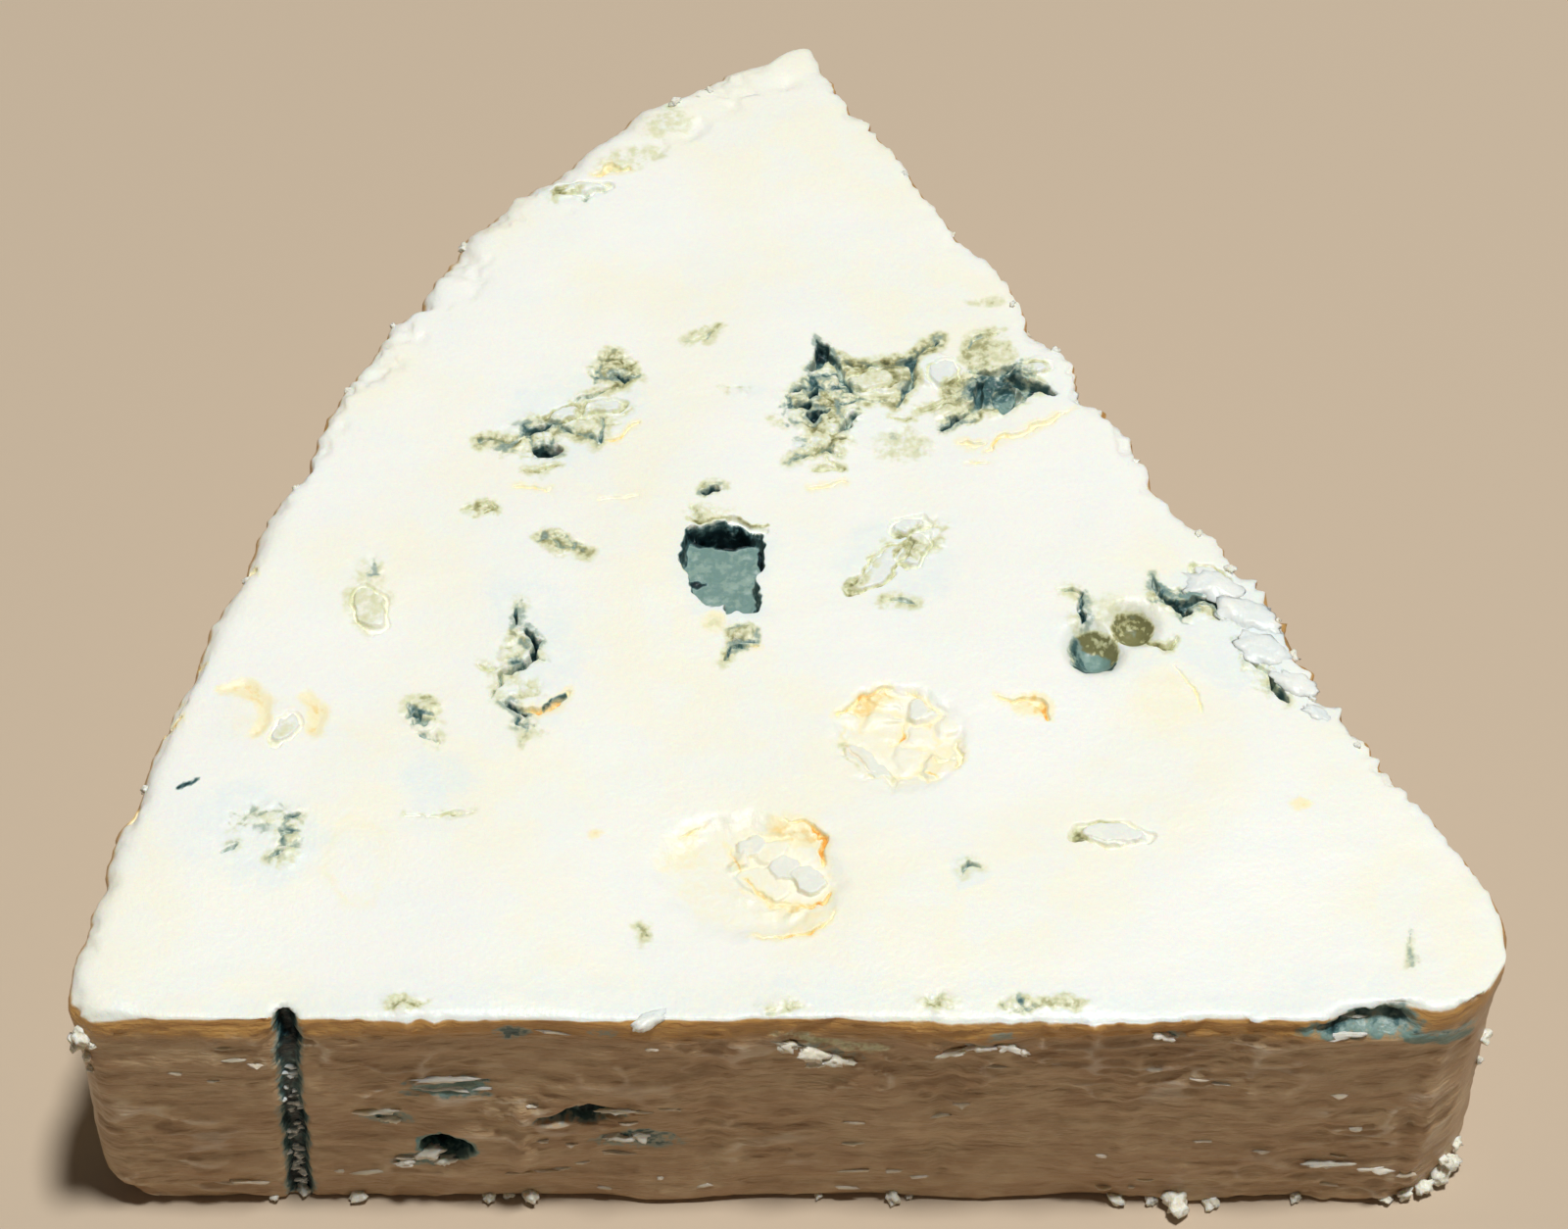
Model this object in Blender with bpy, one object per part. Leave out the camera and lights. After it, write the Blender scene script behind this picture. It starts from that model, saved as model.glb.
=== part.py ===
"""Blue cheese wedge: one piece, a sector cut from a drum-shaped wheel and laid on its flat cut side.

Metres, +Z up. The origin is at the middle of the wedge's footprint, on the surface that it lies on.
The front cut runs along X on the -Y side. The nose, which was the middle of the wheel, points to +X,
and the wheel's rim is on the -X side. Seen from above, the outline runs round anticlockwise:
near corner, front cut, nose, back cut, far corner, rim.
"""

import math

import bmesh
import bpy
from mathutils import Euler, Vector, noise

# Driving sizes of the wheel and of the slice cut from it.
WHEEL_RADIUS = 0.0994
SECTOR_ANGLE = math.radians(59.3)
SLICE_HEIGHT = 0.0245

# The rim swings in and out of a true circle once along the sector.
RIM_SWING = 0.0019
RIM_WAVE = math.radians(66)

# How far the corners and edges are worn round.
NOSE_RADIUS = 0.0065
CORNER_RADIUS = 0.0022
CUT_EDGE = 0.0004
RIM_EDGE = 0.0013
CUT_FOOT = 0.0005
RIM_FOOT = 0.0036
RIM_BLEND = 0.0060

# Unevenness of the broken and knife-dragged faces: how much, and over what length.
TOP_DIP = 0.0005
TOP_WAVE = 0.016
SIDE_WOBBLE = 0.0006
SIDE_WAVE = 0.011

# Sizes of the mesh's own facets.
OUTLINE_STEP = 0.0024
TOP_STEP = 0.0036
CORNER_STEPS = 5
FOOT_STEPS = 4
WALL_HEIGHTS = (0.3, 0.55, 0.78)

# How far a cutting shape runs on past the face that it cuts.
OVERSHOOT = 0.0006

# The channels left by the piercing needle, which let air reach the mould.
NEEDLE_RADIUS = 0.0008
NEEDLE_SIDES = 10

PASTE_COLOR = (0.93, 0.90, 0.79, 1.0)
PASTE_ROUGHNESS = 0.45


def clear_scene():
    for thing in list(bpy.data.objects):
        bpy.data.objects.remove(thing, do_unlink=True)


def make_collection(name):
    collection = bpy.data.collections.new(name)
    bpy.context.scene.collection.children.link(collection)
    return collection


def make_object(name, bm, collection):
    """Turns a bmesh into a mesh object in the given collection."""
    bmesh.ops.recalc_face_normals(bm, faces=bm.faces)
    mesh = bpy.data.meshes.new(name)
    bm.to_mesh(mesh)
    bm.free()
    made = bpy.data.objects.new(name, mesh)
    collection.objects.link(made)
    return made


def make_cutter(name, bm, collection):
    cutter = make_object(name, bm, collection)
    cutter.hide_render = True
    cutter.display_type = "WIRE"
    return cutter


def add_boolean(target, operation, other):
    modifier = target.modifiers.new(other.name, "BOOLEAN")
    modifier.operation = operation
    modifier.solver = "EXACT"
    modifier.object = other


def paste_material():
    material = bpy.data.materials.new("Blue cheese paste")
    material.use_nodes = True
    shader = material.node_tree.nodes["Principled BSDF"]
    shader.inputs["Base Color"].default_value = PASTE_COLOR
    shader.inputs["Roughness"].default_value = PASTE_ROUGHNESS
    return material


# The outline, with the middle of the wheel at (0, 0) until it is centred.


def rim_point(angle):
    """Point on the rim, at an angle round the wheel from the front cut."""
    radius = WHEEL_RADIUS + RIM_SWING * math.sin(2 * math.pi * (angle / RIM_WAVE - 0.5))
    return Vector((-radius * math.cos(angle), radius * math.sin(angle), 0))


def straight(start, end):
    """Evenly spaced points from start towards end, without either of them."""
    steps = max(2, round((end - start).length / OUTLINE_STEP))
    return [start.lerp(end, step / steps) for step in range(1, steps)]


def rounded(corner, before, after, radius):
    """Points of the arc that rounds a corner off."""
    arriving = (before - corner).normalized()
    leaving = (after - corner).normalized()
    half = arriving.angle(leaving) / 2
    middle = corner + (arriving + leaving).normalized() * radius / math.sin(half)
    first = (corner + arriving * radius / math.tan(half) - middle).normalized()
    last = (corner + leaving * radius / math.tan(half) - middle).normalized()
    turns = [first.slerp(last, step / CORNER_STEPS) for step in range(CORNER_STEPS + 1)]
    return [middle + turn * radius for turn in turns]


def outline():
    """The wedge's outline from above, centred on the origin, and where the wheel's middle then is."""
    nose = Vector((0, 0, 0))
    rim_steps = round(WHEEL_RADIUS * SECTOR_ANGLE / OUTLINE_STEP)
    rim = [rim_point(SECTOR_ANGLE * (1 - step / rim_steps)) for step in range(rim_steps + 1)]
    near = rounded(rim[-1], rim[-3], nose, CORNER_RADIUS)
    blunt = rounded(nose, rim[-1], rim[0], NOSE_RADIUS)
    far = rounded(rim[0], nose, rim[2], CORNER_RADIUS)
    points = near + straight(near[-1], blunt[0]) + blunt + straight(blunt[-1], far[0]) + far
    points += rim[2:-2]
    low = Vector(map(min, zip(*points)))
    high = Vector(map(max, zip(*points)))
    middle = (low + high) / 2
    return [point - middle for point in points], nose - middle


def rim_share(point, wheel_middle):
    """1 on the rim and at its corners, falling to 0 a little way along each cut."""
    depth = WHEEL_RADIUS - RIM_SWING - (point - wheel_middle).length
    return 1 - min(1, max(0, depth / RIM_BLEND))


def outward(points, index):
    """Horizontal direction out of the outline at one of its points."""
    along = points[(index + 1) % len(points)] - points[index - 1]
    return Vector((along.y, -along.x, 0)).normalized()


def cookie_cutter(points, wheel_middle, collection):
    """The wall round the wedge, as a closed drum whose foot and top edge are worn in."""
    bm = bmesh.new()
    shares = [rim_share(point, wheel_middle) for point in points]
    edges = [CUT_EDGE + (RIM_EDGE - CUT_EDGE) * share for share in shares]
    pulls = [(wheel_middle - point).normalized() * share for point, share in zip(points, shares)]
    rings = [foot_ring(bm, points, pulls, 0, -OVERSHOOT)]
    for step in range(FOOT_STEPS + 1):
        rings.append(foot_ring(bm, points, pulls, math.pi / 2 * step / FOOT_STEPS, 0))
    for height in WALL_HEIGHTS:
        rings.append(wall_ring(bm, points, [height * SLICE_HEIGHT] * len(points), [0] * len(points)))
    # The slope of the worn top edge runs on above the top face.
    rings.append(wall_ring(bm, points, [SLICE_HEIGHT - edge for edge in edges], [0] * len(points)))
    above = [SLICE_HEIGHT + OVERSHOOT] * len(points)
    rings.append(wall_ring(bm, points, above, [edge + OVERSHOOT for edge in edges]))
    for lower, upper in zip(rings, rings[1:]):
        for index, corner in enumerate(lower):
            bm.faces.new((lower[index - 1], corner, upper[index], upper[index - 1]))
    bm.faces.new(rings[0])
    bm.faces.new(rings[-1])
    return make_cutter("cookie_cutter", bm, collection)


def foot_ring(bm, points, pulls, angle, drop):
    """Ring at an angle round the worn foot: 0 on the base, a quarter turn where the wall is upright."""
    rise = 1 - math.cos(angle)
    inset = 1 - math.sin(angle)
    heights = [(CUT_FOOT + (RIM_FOOT - CUT_FOOT) * pull.length) * rise + drop for pull in pulls]
    # The rim's foot is worn towards the wheel's middle, so that its corners keep their shape.
    moved = [point + pull * (RIM_FOOT - CUT_FOOT) * inset for point, pull in zip(points, pulls)]
    return wall_ring(bm, moved, heights, [CUT_FOOT * inset] * len(points))


def wall_ring(bm, points, heights, insets):
    """Ring of vertices round the uneven wall, with a height and an inset for each point."""
    ring = []
    for index, point in enumerate(points):
        place = point + Vector((0, 0, heights[index]))
        wobble = SIDE_WOBBLE * noise.noise(place / SIDE_WAVE)
        ring.append(bm.verts.new(place + outward(points, index) * (wobble - insets[index])))
    return ring


def slab(points, collection):
    """A block with a flat base and a gently dipping top, larger than the wedge all round."""
    half = max(max(abs(point.x), abs(point.y)) for point in points) + OVERSHOOT
    cells = round(2 * half / TOP_STEP)
    bm = bmesh.new()
    bmesh.ops.create_grid(bm, x_segments=cells, y_segments=cells, size=half)
    for vert in bm.verts:
        dip = 0.5 + noise.noise(vert.co / TOP_WAVE)
        vert.co.z = SLICE_HEIGHT - TOP_DIP * max(0, dip)
    base = bmesh.ops.extrude_face_region(bm, geom=bm.faces[:])["geom"]
    for part in base:
        if isinstance(part, bmesh.types.BMVert):
            part.co.z = 0
    return make_object("blue_cheese_wedge", bm, collection)


# Hollows. Sizes are full widths and depths in millimetres, as they are read off the cheese.


def mm(*values):
    return Vector([value / 1000 for value in values])


def lump(bm, place, size, turn, roughness, fineness):
    """An uneven ball: a hollow in the paste leaves the shape of one."""
    made = bmesh.ops.create_icosphere(bm, subdivisions=fineness, radius=0.5)["verts"]
    turned = Euler([math.radians(angle) for angle in turn]).to_matrix()
    for vert in made:
        bump = 1 + roughness * noise.noise(vert.co * 3 + place * 1000)
        vert.co = place + turned @ Vector([vert.co[i] * size[i] * bump for i in range(3)])


def hollow(name, place, size, turn=(0, 0, 0), roughness=0.35, fineness=2):
    """Cutter for one hollow, centred on the face that it opens in."""
    bm = bmesh.new()
    lump(bm, mm(*place), mm(*size), turn, roughness, fineness)
    return name, bm


def needle_channel(name, foot, lean):
    """Cutter for a channel right through the slice, open along the cut face that it runs in."""
    bm = bmesh.new()
    bmesh.ops.create_cone(
        bm,
        cap_ends=True,
        segments=NEEDLE_SIDES,
        radius1=NEEDLE_RADIUS,
        radius2=NEEDLE_RADIUS,
        depth=SLICE_HEIGHT + 2 * OVERSHOOT,
    )
    turned = Euler([math.radians(angle) for angle in lean]).to_matrix()
    middle = mm(*foot) + Vector((0, 0, SLICE_HEIGHT / 2))
    for vert in bm.verts:
        vert.co = middle + turned @ vert.co
    return name, bm


def top_hollows():
    top = SLICE_HEIGHT * 1000
    return [
        hollow("mould_cave", (-4.5, -5.9, top), (6.4, 8.6, 5.2), roughness=0.5, fineness=3),
        hollow("mould_cave_throat", (-4.4, -3.2, top - 2.2), (4.6, 3.4, 7.0), turn=(25, 0, 0)),
        hollow("round_pit_left", (20.9, -12.7, top), (3.0, 3.0, 3.4)),
        hollow("round_pit_right", (23.6, -10.9, top), (2.7, 2.7, 2.6)),
        hollow("rear_vein_column", (2.4, 10.6, top), (1.9, 7.2, 2.6), turn=(0, 0, 8)),
        hollow("rear_vein_line", (6.5, 12.4, top), (8.4, 1.3, 2.0), turn=(0, 0, 6)),
        hollow("rear_vein_right", (14.8, 9.9, top), (5.6, 2.2, 2.8), turn=(0, 0, -6)),
        hollow("left_vein_right", (-13.4, 10.2, top), (3.6, 2.6, 2.2), turn=(0, 0, 25)),
        hollow("left_vein_hole", (-17.2, 5.3, top), (2.0, 3.0, 3.2), turn=(0, 0, -15)),
        hollow("left_crack_upper", (-18.3, -11.8, top), (1.5, 5.2, 3.0), turn=(0, 0, 8)),
        hollow("left_crack_lower", (-18.7, -16.2, top), (1.3, 4.6, 2.2), turn=(0, 0, 24)),
        hollow("rear_open_curd", (7.4, -20.2, top), (7.4, 7.8, 1.6), turn=(0, 0, 20)),
        hollow("front_open_curd", (-3.0, -31.0, top), (9.8, 6.4, 1.6), turn=(0, 0, -24)),
        hollow("edge_crack", (28.2, -8.9, top), (7.4, 1.5, 3.6), turn=(0, 0, -18)),
        hollow("edge_slit", (33.4, -16.0, top), (1.1, 3.2, 3.0), turn=(0, 0, 20)),
    ]


def side_hollows():
    return [
        needle_channel("needle_front", (-33.4, -42.3, 0), (0, 2.4, 0)),
        needle_channel("needle_back_cut", (21.6, 8.9, 0), (1.5, -1.0, 0)),
        hollow("front_pit", (-23.4, -42.6, 7.3), (3.0, 3.4, 3.8)),
        hollow("front_slot", (-13.6, -42.6, 12.2), (4.6, 2.2, 1.8), turn=(0, 8, 0)),
        hollow("front_nose_opening", (38.3, -42.9, 23.9), (7.4, 3.2, 3.0), turn=(0, 6, 0)),
        hollow("back_cut_pit", (5.6, 35.6, 10.5), (3.6, 3.6, 2.8), turn=(0, 0, 30)),
        hollow("back_cut_slot", (33.4, -11.4, 9.0), (6.6, 2.4, 2.2), turn=(0, 0, -60)),
        hollow("rim_notch_near", (-45.8, -24.9, 24.2), (2.8, 2.0, 2.4)),
        hollow("rim_notch_middle", (-40.9, -6.3, 24.4), (3.0, 2.0, 2.0)),
        hollow("rim_notch_far", (-37.4, 3.2, 24.6), (2.6, 1.8, 2.2)),
        hollow("rim_pit", (-24.4, 26.6, 12.0), (3.0, 3.0, 2.2)),
    ]


def blue_cheese_wedge():
    parts = make_collection("Blue cheese wedge")
    cutters = make_collection("Cutters")
    points, wheel_middle = outline()
    wedge = slab(points, parts)
    wedge.data.materials.append(paste_material())
    add_boolean(wedge, "INTERSECT", cookie_cutter(points, wheel_middle, cutters))
    for name, bm in top_hollows() + side_hollows():
        add_boolean(wedge, "DIFFERENCE", make_cutter(name, bm, cutters))
    wedge.data.shade_smooth()
    wedge.data.set_sharp_from_angle(angle=math.radians(35))


clear_scene()
blue_cheese_wedge()
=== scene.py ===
"""Blue cheese wedge: its looks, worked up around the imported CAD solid.

Metres, +Z up, in the CAD's frame: the wedge lies on z = 0, its front cut faces -Y, its nose points to +X
and the wheel's rim is on the -X side. Marks on the cheese are given in millimetres, which suit their size.
"""

import math
import random

import bmesh
import bpy
import numpy as np
from mathutils import Euler, Matrix, Vector, noise


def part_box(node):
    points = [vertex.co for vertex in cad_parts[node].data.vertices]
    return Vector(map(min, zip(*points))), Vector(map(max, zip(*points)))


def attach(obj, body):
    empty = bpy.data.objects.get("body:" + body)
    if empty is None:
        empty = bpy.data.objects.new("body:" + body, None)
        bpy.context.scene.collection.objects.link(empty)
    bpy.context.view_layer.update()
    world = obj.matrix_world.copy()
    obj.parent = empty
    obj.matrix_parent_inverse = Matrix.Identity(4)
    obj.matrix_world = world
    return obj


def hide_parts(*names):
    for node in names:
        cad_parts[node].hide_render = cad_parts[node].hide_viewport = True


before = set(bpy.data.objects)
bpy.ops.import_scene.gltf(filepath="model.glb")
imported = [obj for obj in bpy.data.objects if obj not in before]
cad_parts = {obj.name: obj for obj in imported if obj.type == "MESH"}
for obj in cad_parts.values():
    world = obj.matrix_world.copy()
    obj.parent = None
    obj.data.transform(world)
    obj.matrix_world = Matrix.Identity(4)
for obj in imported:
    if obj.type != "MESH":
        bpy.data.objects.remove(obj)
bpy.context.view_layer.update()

NODE = "blue_cheese_wedge"
MM = 0.001

# The wedge's own sizes, in millimetres. The wheel's middle lies beyond the rounded nose.
LOW, HIGH = (np.array(corner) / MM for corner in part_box(NODE))
TOP = HIGH[2]
SECTOR_ANGLE = math.radians(59.3)
WHEEL_RADIUS = 99.4
NOSE_RADIUS = 6.5
WHEEL_MIDDLE = np.array((HIGH[0] + NOSE_RADIUS / math.tan(SECTOR_ANGLE / 2) - NOSE_RADIUS, LOW[1] + 0.3))

# Directions of the three upright faces: into the cheese, and along the face.
FRONT_INWARD = np.array((0, 1, 0))
FRONT_ALONG = np.array((1, 0, 0))
BACK_INWARD = np.array((-math.sin(SECTOR_ANGLE), -math.cos(SECTOR_ANGLE), 0))
BACK_ALONG = np.array((-math.cos(SECTOR_ANGLE), math.sin(SECTOR_ANGLE), 0))

# Where the piercing needles crossed the two cuts, in millimetres along them.
FRONT_NEEDLE = -33.3
BACK_NEEDLE = 60.6

# Size of the paste's coarsest faces, in millimetres. Marked places are cut two, four or eight times finer.
REMESH = 0.6

random.seed(7)


# Uneven fields, which give every face, crack and stain its own wander.


def lattice_values(cells, seed):
    """A fixed random number from -1 to 1 for each whole-numbered corner of a lattice."""
    mixed = cells[:, 0] * 374761393 + cells[:, 1] * 668265263 + cells[:, 2] * 2147483647
    mixed = mixed + seed * 1442695
    mixed = (mixed ^ (mixed >> 13)) * 1274126177
    mixed = mixed ^ (mixed >> 16)
    return (mixed & 65535) / 32767.5 - 1


def wander(places, size, seed=0):
    """Smooth random field from -1 to 1 that changes over a distance of size, one for all axes or one each."""
    scaled = places / np.asarray(size, dtype=float)
    low = np.floor(scaled).astype(np.int64)
    part = scaled - low
    part = part * part * (3 - 2 * part)
    total = np.zeros(len(places))
    for corner in np.ndindex(2, 2, 2):
        weight = np.prod(np.where(corner, part, 1 - part), axis=1)
        total += weight * lattice_values(low + corner, seed)
    return total


def ease(low, high, values):
    """Smooth step from 0 at low to 1 at high."""
    share = np.clip((values - low) / (high - low), 0, 1)
    return share * share * (3 - 2 * share)


def curd_cells(flat, size, seed):
    """Splits a face into curds: distance to the nearest border in millimetres, and each curd's number, -1 to 1."""
    scaled = flat / np.asarray(size, dtype=float)
    base = np.floor(scaled).astype(np.int64)
    nearest = np.full(len(flat), np.inf)
    second = np.full(len(flat), np.inf)
    number = np.zeros(len(flat))
    for offset in np.ndindex(3, 3):
        cell = np.column_stack((base + offset - 1, np.zeros(len(flat), dtype=np.int64)))
        middle = cell[:, :2] + 0.5 + 0.38 * np.column_stack((lattice_values(cell, seed), lattice_values(cell, seed + 1)))
        gap = np.linalg.norm(scaled - middle, axis=1)
        closer = gap < nearest
        second = np.where(closer, nearest, np.minimum(second, gap))
        number = np.where(closer, lattice_values(cell, seed + 2), number)
        nearest = np.minimum(nearest, gap)
    return (second - nearest) * np.mean(size) / 2, number


# Shapes on a face. Each gives how far inside it a place is, in millimetres, and is negative outside.


def trail(flat, route):
    """A stroke along a route of (along, across, half width)."""
    best = np.full(len(flat), -np.inf)
    for (x0, y0, w0), (x1, y1, w1) in zip(route, route[1:]):
        start = np.array((x0, y0))
        run = np.array((x1, y1)) - start
        share = np.clip((flat - start) @ run / (run @ run), 0, 1)
        gap = np.linalg.norm(flat - start - share[:, None] * run, axis=1)
        best = np.maximum(best, w0 + (w1 - w0) * share - gap)
    return best


def patch(flat, centre, size, turn=0):
    """An oval of the given full sizes, turned in degrees."""
    angle = math.radians(turn)
    across = flat - np.array(centre)
    turned = across @ np.array(((math.cos(angle), -math.sin(angle)), (math.sin(angle), math.cos(angle))))
    half = np.array(size) / 2
    return (1 - np.linalg.norm(turned / half, axis=1)) * min(half)


def region(flat, corners):
    """An uneven area with the given corners, listed in order round it."""
    ring = list(zip(corners, corners[1:] + corners[:1]))
    gap = -np.maximum.reduce([trail(flat, [(*start, 0), (*end, 0)]) for start, end in ring])
    crossings = np.zeros(len(flat), dtype=int)
    for (x0, y0), (x1, y1) in ring:
        between = (flat[:, 1] < y0) != (flat[:, 1] < y1)
        height = (y1 - y0) if y1 != y0 else 1
        crossings += between & (flat[:, 0] < x0 + (flat[:, 1] - y0) * (x1 - x0) / height)
    return np.where(crossings % 2 == 1, gap, -gap)


class Face:
    """One face of the wedge as it is worked: flat places in millimetres, moves into the cheese, and stains."""

    def __init__(self, flat, inward, share, stains):
        solid = np.column_stack((flat, np.zeros(len(flat))))
        rough = np.column_stack((wander(solid, 1.25, 1), wander(solid, 1.25, 2))) * 0.32
        fine = np.column_stack((wander(solid, 0.45, 3), wander(solid, 0.45, 4))) * 0.15
        self.smooth = flat
        self.flat = flat + rough + fine
        self.solid = solid
        self.pinch = 0.5 + 0.5 * wander(solid, 0.9, 5)
        self.shade = ease(-0.5, 0.5, wander(solid, 1.6, 6) + 0.3 * wander(solid, 0.5, 7))
        self.drift = 1.1 * wander(solid, 4.2, 8) + 0.8 * wander(solid, 1.6, 9) - 0.4
        self.inward = inward
        self.share = share
        self.depth = np.zeros(len(flat))
        self.lift = np.zeros(len(flat))
        self.stains = stains
        self.curdled = np.zeros(len(flat))
        self.busy = np.zeros(len(flat))
        self.fussy = np.zeros(len(flat))

    def show(self, inside, fine):
        """Asks for finer faces round a shape, and the finest along it where it is fine."""
        self.busy = np.maximum(self.busy, ease(-1.1, -0.3, inside) * self.share)
        if fine:
            self.fussy = np.maximum(self.fussy, ease(-0.75, -0.1, inside) * self.share)

    def dig(self, inside, depth, edge=0.25):
        """Hollows a shape out to a depth, over a wall this wide."""
        self.depth = np.maximum(self.depth, depth * ease(-edge / 2, edge / 2, inside) * self.share)
        self.show(np.minimum(inside, edge - inside), edge < 0.6)

    def raise_up(self, inside, height, edge=0.4):
        self.lift = np.maximum(self.lift, height * ease(-edge / 2, edge / 2, inside) * self.share)
        self.show(np.minimum(inside, edge - inside), False)

    def stain(self, kind, inside, strength=1.0, soft=0.35):
        """Colours a shape, fading out over the soft distance on both sides of its edge."""
        if kind == "milk":
            inside = inside + self.drift
        shown = strength * ease(-soft, soft, inside) * self.share
        self.stains[kind] = np.maximum(self.stains[kind], shown)
        if soft < 0.6:
            self.show(inside, False)

    def crack(self, route, depth=1.2, dark=1.0, halo=0.5, olive=0.5):
        """A mouldy split that pinches and widens: black-teal inside, with an olive and milky border."""
        inside = trail(self.flat, route) - 0.2 * self.pinch
        self.dig(inside, depth, edge=0.22)
        self.stain("mould", inside + 0.05, dark * (0.36 + 0.58 * self.shade), soft=0.2)
        self.stain("mould", inside + 0.45, 0.36 * dark * self.shade, soft=0.5)
        self.stain("olive", inside + 0.6, olive * (0.3 + 0.8 * self.pinch), soft=0.6)
        self.stain("milk", inside + 1.2, halo, soft=1.1)
        self.show(inside, True)

    def slit(self, route, kind="amber", depth=0.3, strength=0.8):
        """A thin curved opening between two curds, coloured along one lip."""
        inside = trail(self.flat, route) - 0.07 * self.pinch
        self.dig(inside, depth, edge=0.18)
        self.stain(kind, inside, strength * (0.5 + 0.6 * self.shade), soft=0.15)
        self.stain(kind, inside + 0.4, 0.35 * strength, soft=0.45)
        self.show(inside, True)

    def plate(self, centre, size, turn=0, height=0.2, outline=0.8):
        """A flake of wet curd that lies in the cut, with a thin shadowed outline."""
        inside = patch(self.flat, centre, size, turn)
        self.raise_up(inside, height, edge=0.2)
        self.stain("curd", inside - 0.05, 1.0, soft=0.12)
        border = np.minimum(inside + 0.2, 0.04 - inside)
        self.dig(border, 0.3, edge=0.15)
        self.stain("olive", border, outline * (0.3 + 0.9 * self.shade), soft=0.12)
        self.show(np.minimum(inside, 0.3 - inside), True)

    def curdle(self, inside, size, height, creases):
        """Breaks a hollow's floor into lumps of curd, with ripe yellow creases between them."""
        border, number = curd_cells(self.flat, size, 71)
        within = ease(-0.4, 0.5, inside) * self.share
        self.lift = self.lift + height * (ease(0, 0.45, border) + 0.6 * number - 0.5) * within
        crease = ease(0.26, 0.04, border) * within * creases * (0.25 + 0.95 * self.shade)
        self.stains["amber"] = np.maximum(self.stains["amber"], crease)
        self.show(inside, False)

    def veins(self, inside, strength=1.0, soft=0.7):
        """Marks an area where mould runs between small curds. break_up() makes them."""
        self.curdled = np.maximum(self.curdled, ease(-soft, soft, inside) * strength * self.share)
        self.show(inside, False)
        self.fussy = np.maximum(self.fussy, 0.6 * ease(-0.3, 0.3, inside) * self.share)

    def break_up(self):
        """Makes the small curds and the mould between them, wherever veins() marked it."""
        border, number = curd_cells(self.flat, (1.7, 1.35), 81)
        small, tone = curd_cells(self.flat, (0.8, 0.65), 91)
        darkness = ease(-0.35, 0.55, wander(self.solid, 2.1, 43))
        self.lift = self.lift + self.curdled * (0.22 * ease(0, 0.4, border) + 0.1 * number - 0.12)
        self.lift = self.lift + self.curdled * 0.07 * ease(0, 0.2, small)
        seam = ease(0.30, 0.04, border) * self.curdled
        thin = ease(0.16, 0.02, small) * self.curdled
        for kind, shown in (
            ("olive", self.curdled * (0.50 + 0.26 * number + 0.16 * tone)),
            ("olive", seam * (0.65 + 0.6 * self.shade)),
            ("olive", thin * (0.2 + 0.7 * self.shade)),
            ("mould", seam * (0.06 + 0.56 * darkness)),
            ("mould", thin * 0.26 * darkness),
            ("milk", self.curdled * (0.7 - 0.8 * number)),
        ):
            self.stains[kind] = np.maximum(self.stains[kind], shown)


# Two stains carry painted light: the upright cuts' tan is partly painted shade, and the amber band under their top edge
# is painted light shining through it.
STAINS = ("mould", "grey", "olive", "amber", "milk", "curd", "dragged", "painted_edge_glow", "rind")


# Marks on the top face, in millimetres along X and Y.


CAVE_MOUTH = [
    (-7.0, -3.0), (-7.4, -5.4), (-7.1, -6.4), (-6.9, -7.5), (-6.3, -8.6), (-5.8, -9.3), (-4.6, -9.3),
    (-4.5, -10.3), (-3.5, -10.2), (-2.2, -9.7), (-1.9, -8.8), (-2.5, -7.8), (-2.4, -7.1), (-1.9, -6.6),
    (-1.6, -5.8), (-1.7, -4.6), (-2.2, -3.7), (-3.2, -3.0), (-4.6, -2.7), (-5.6, -2.8),
]


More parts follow.
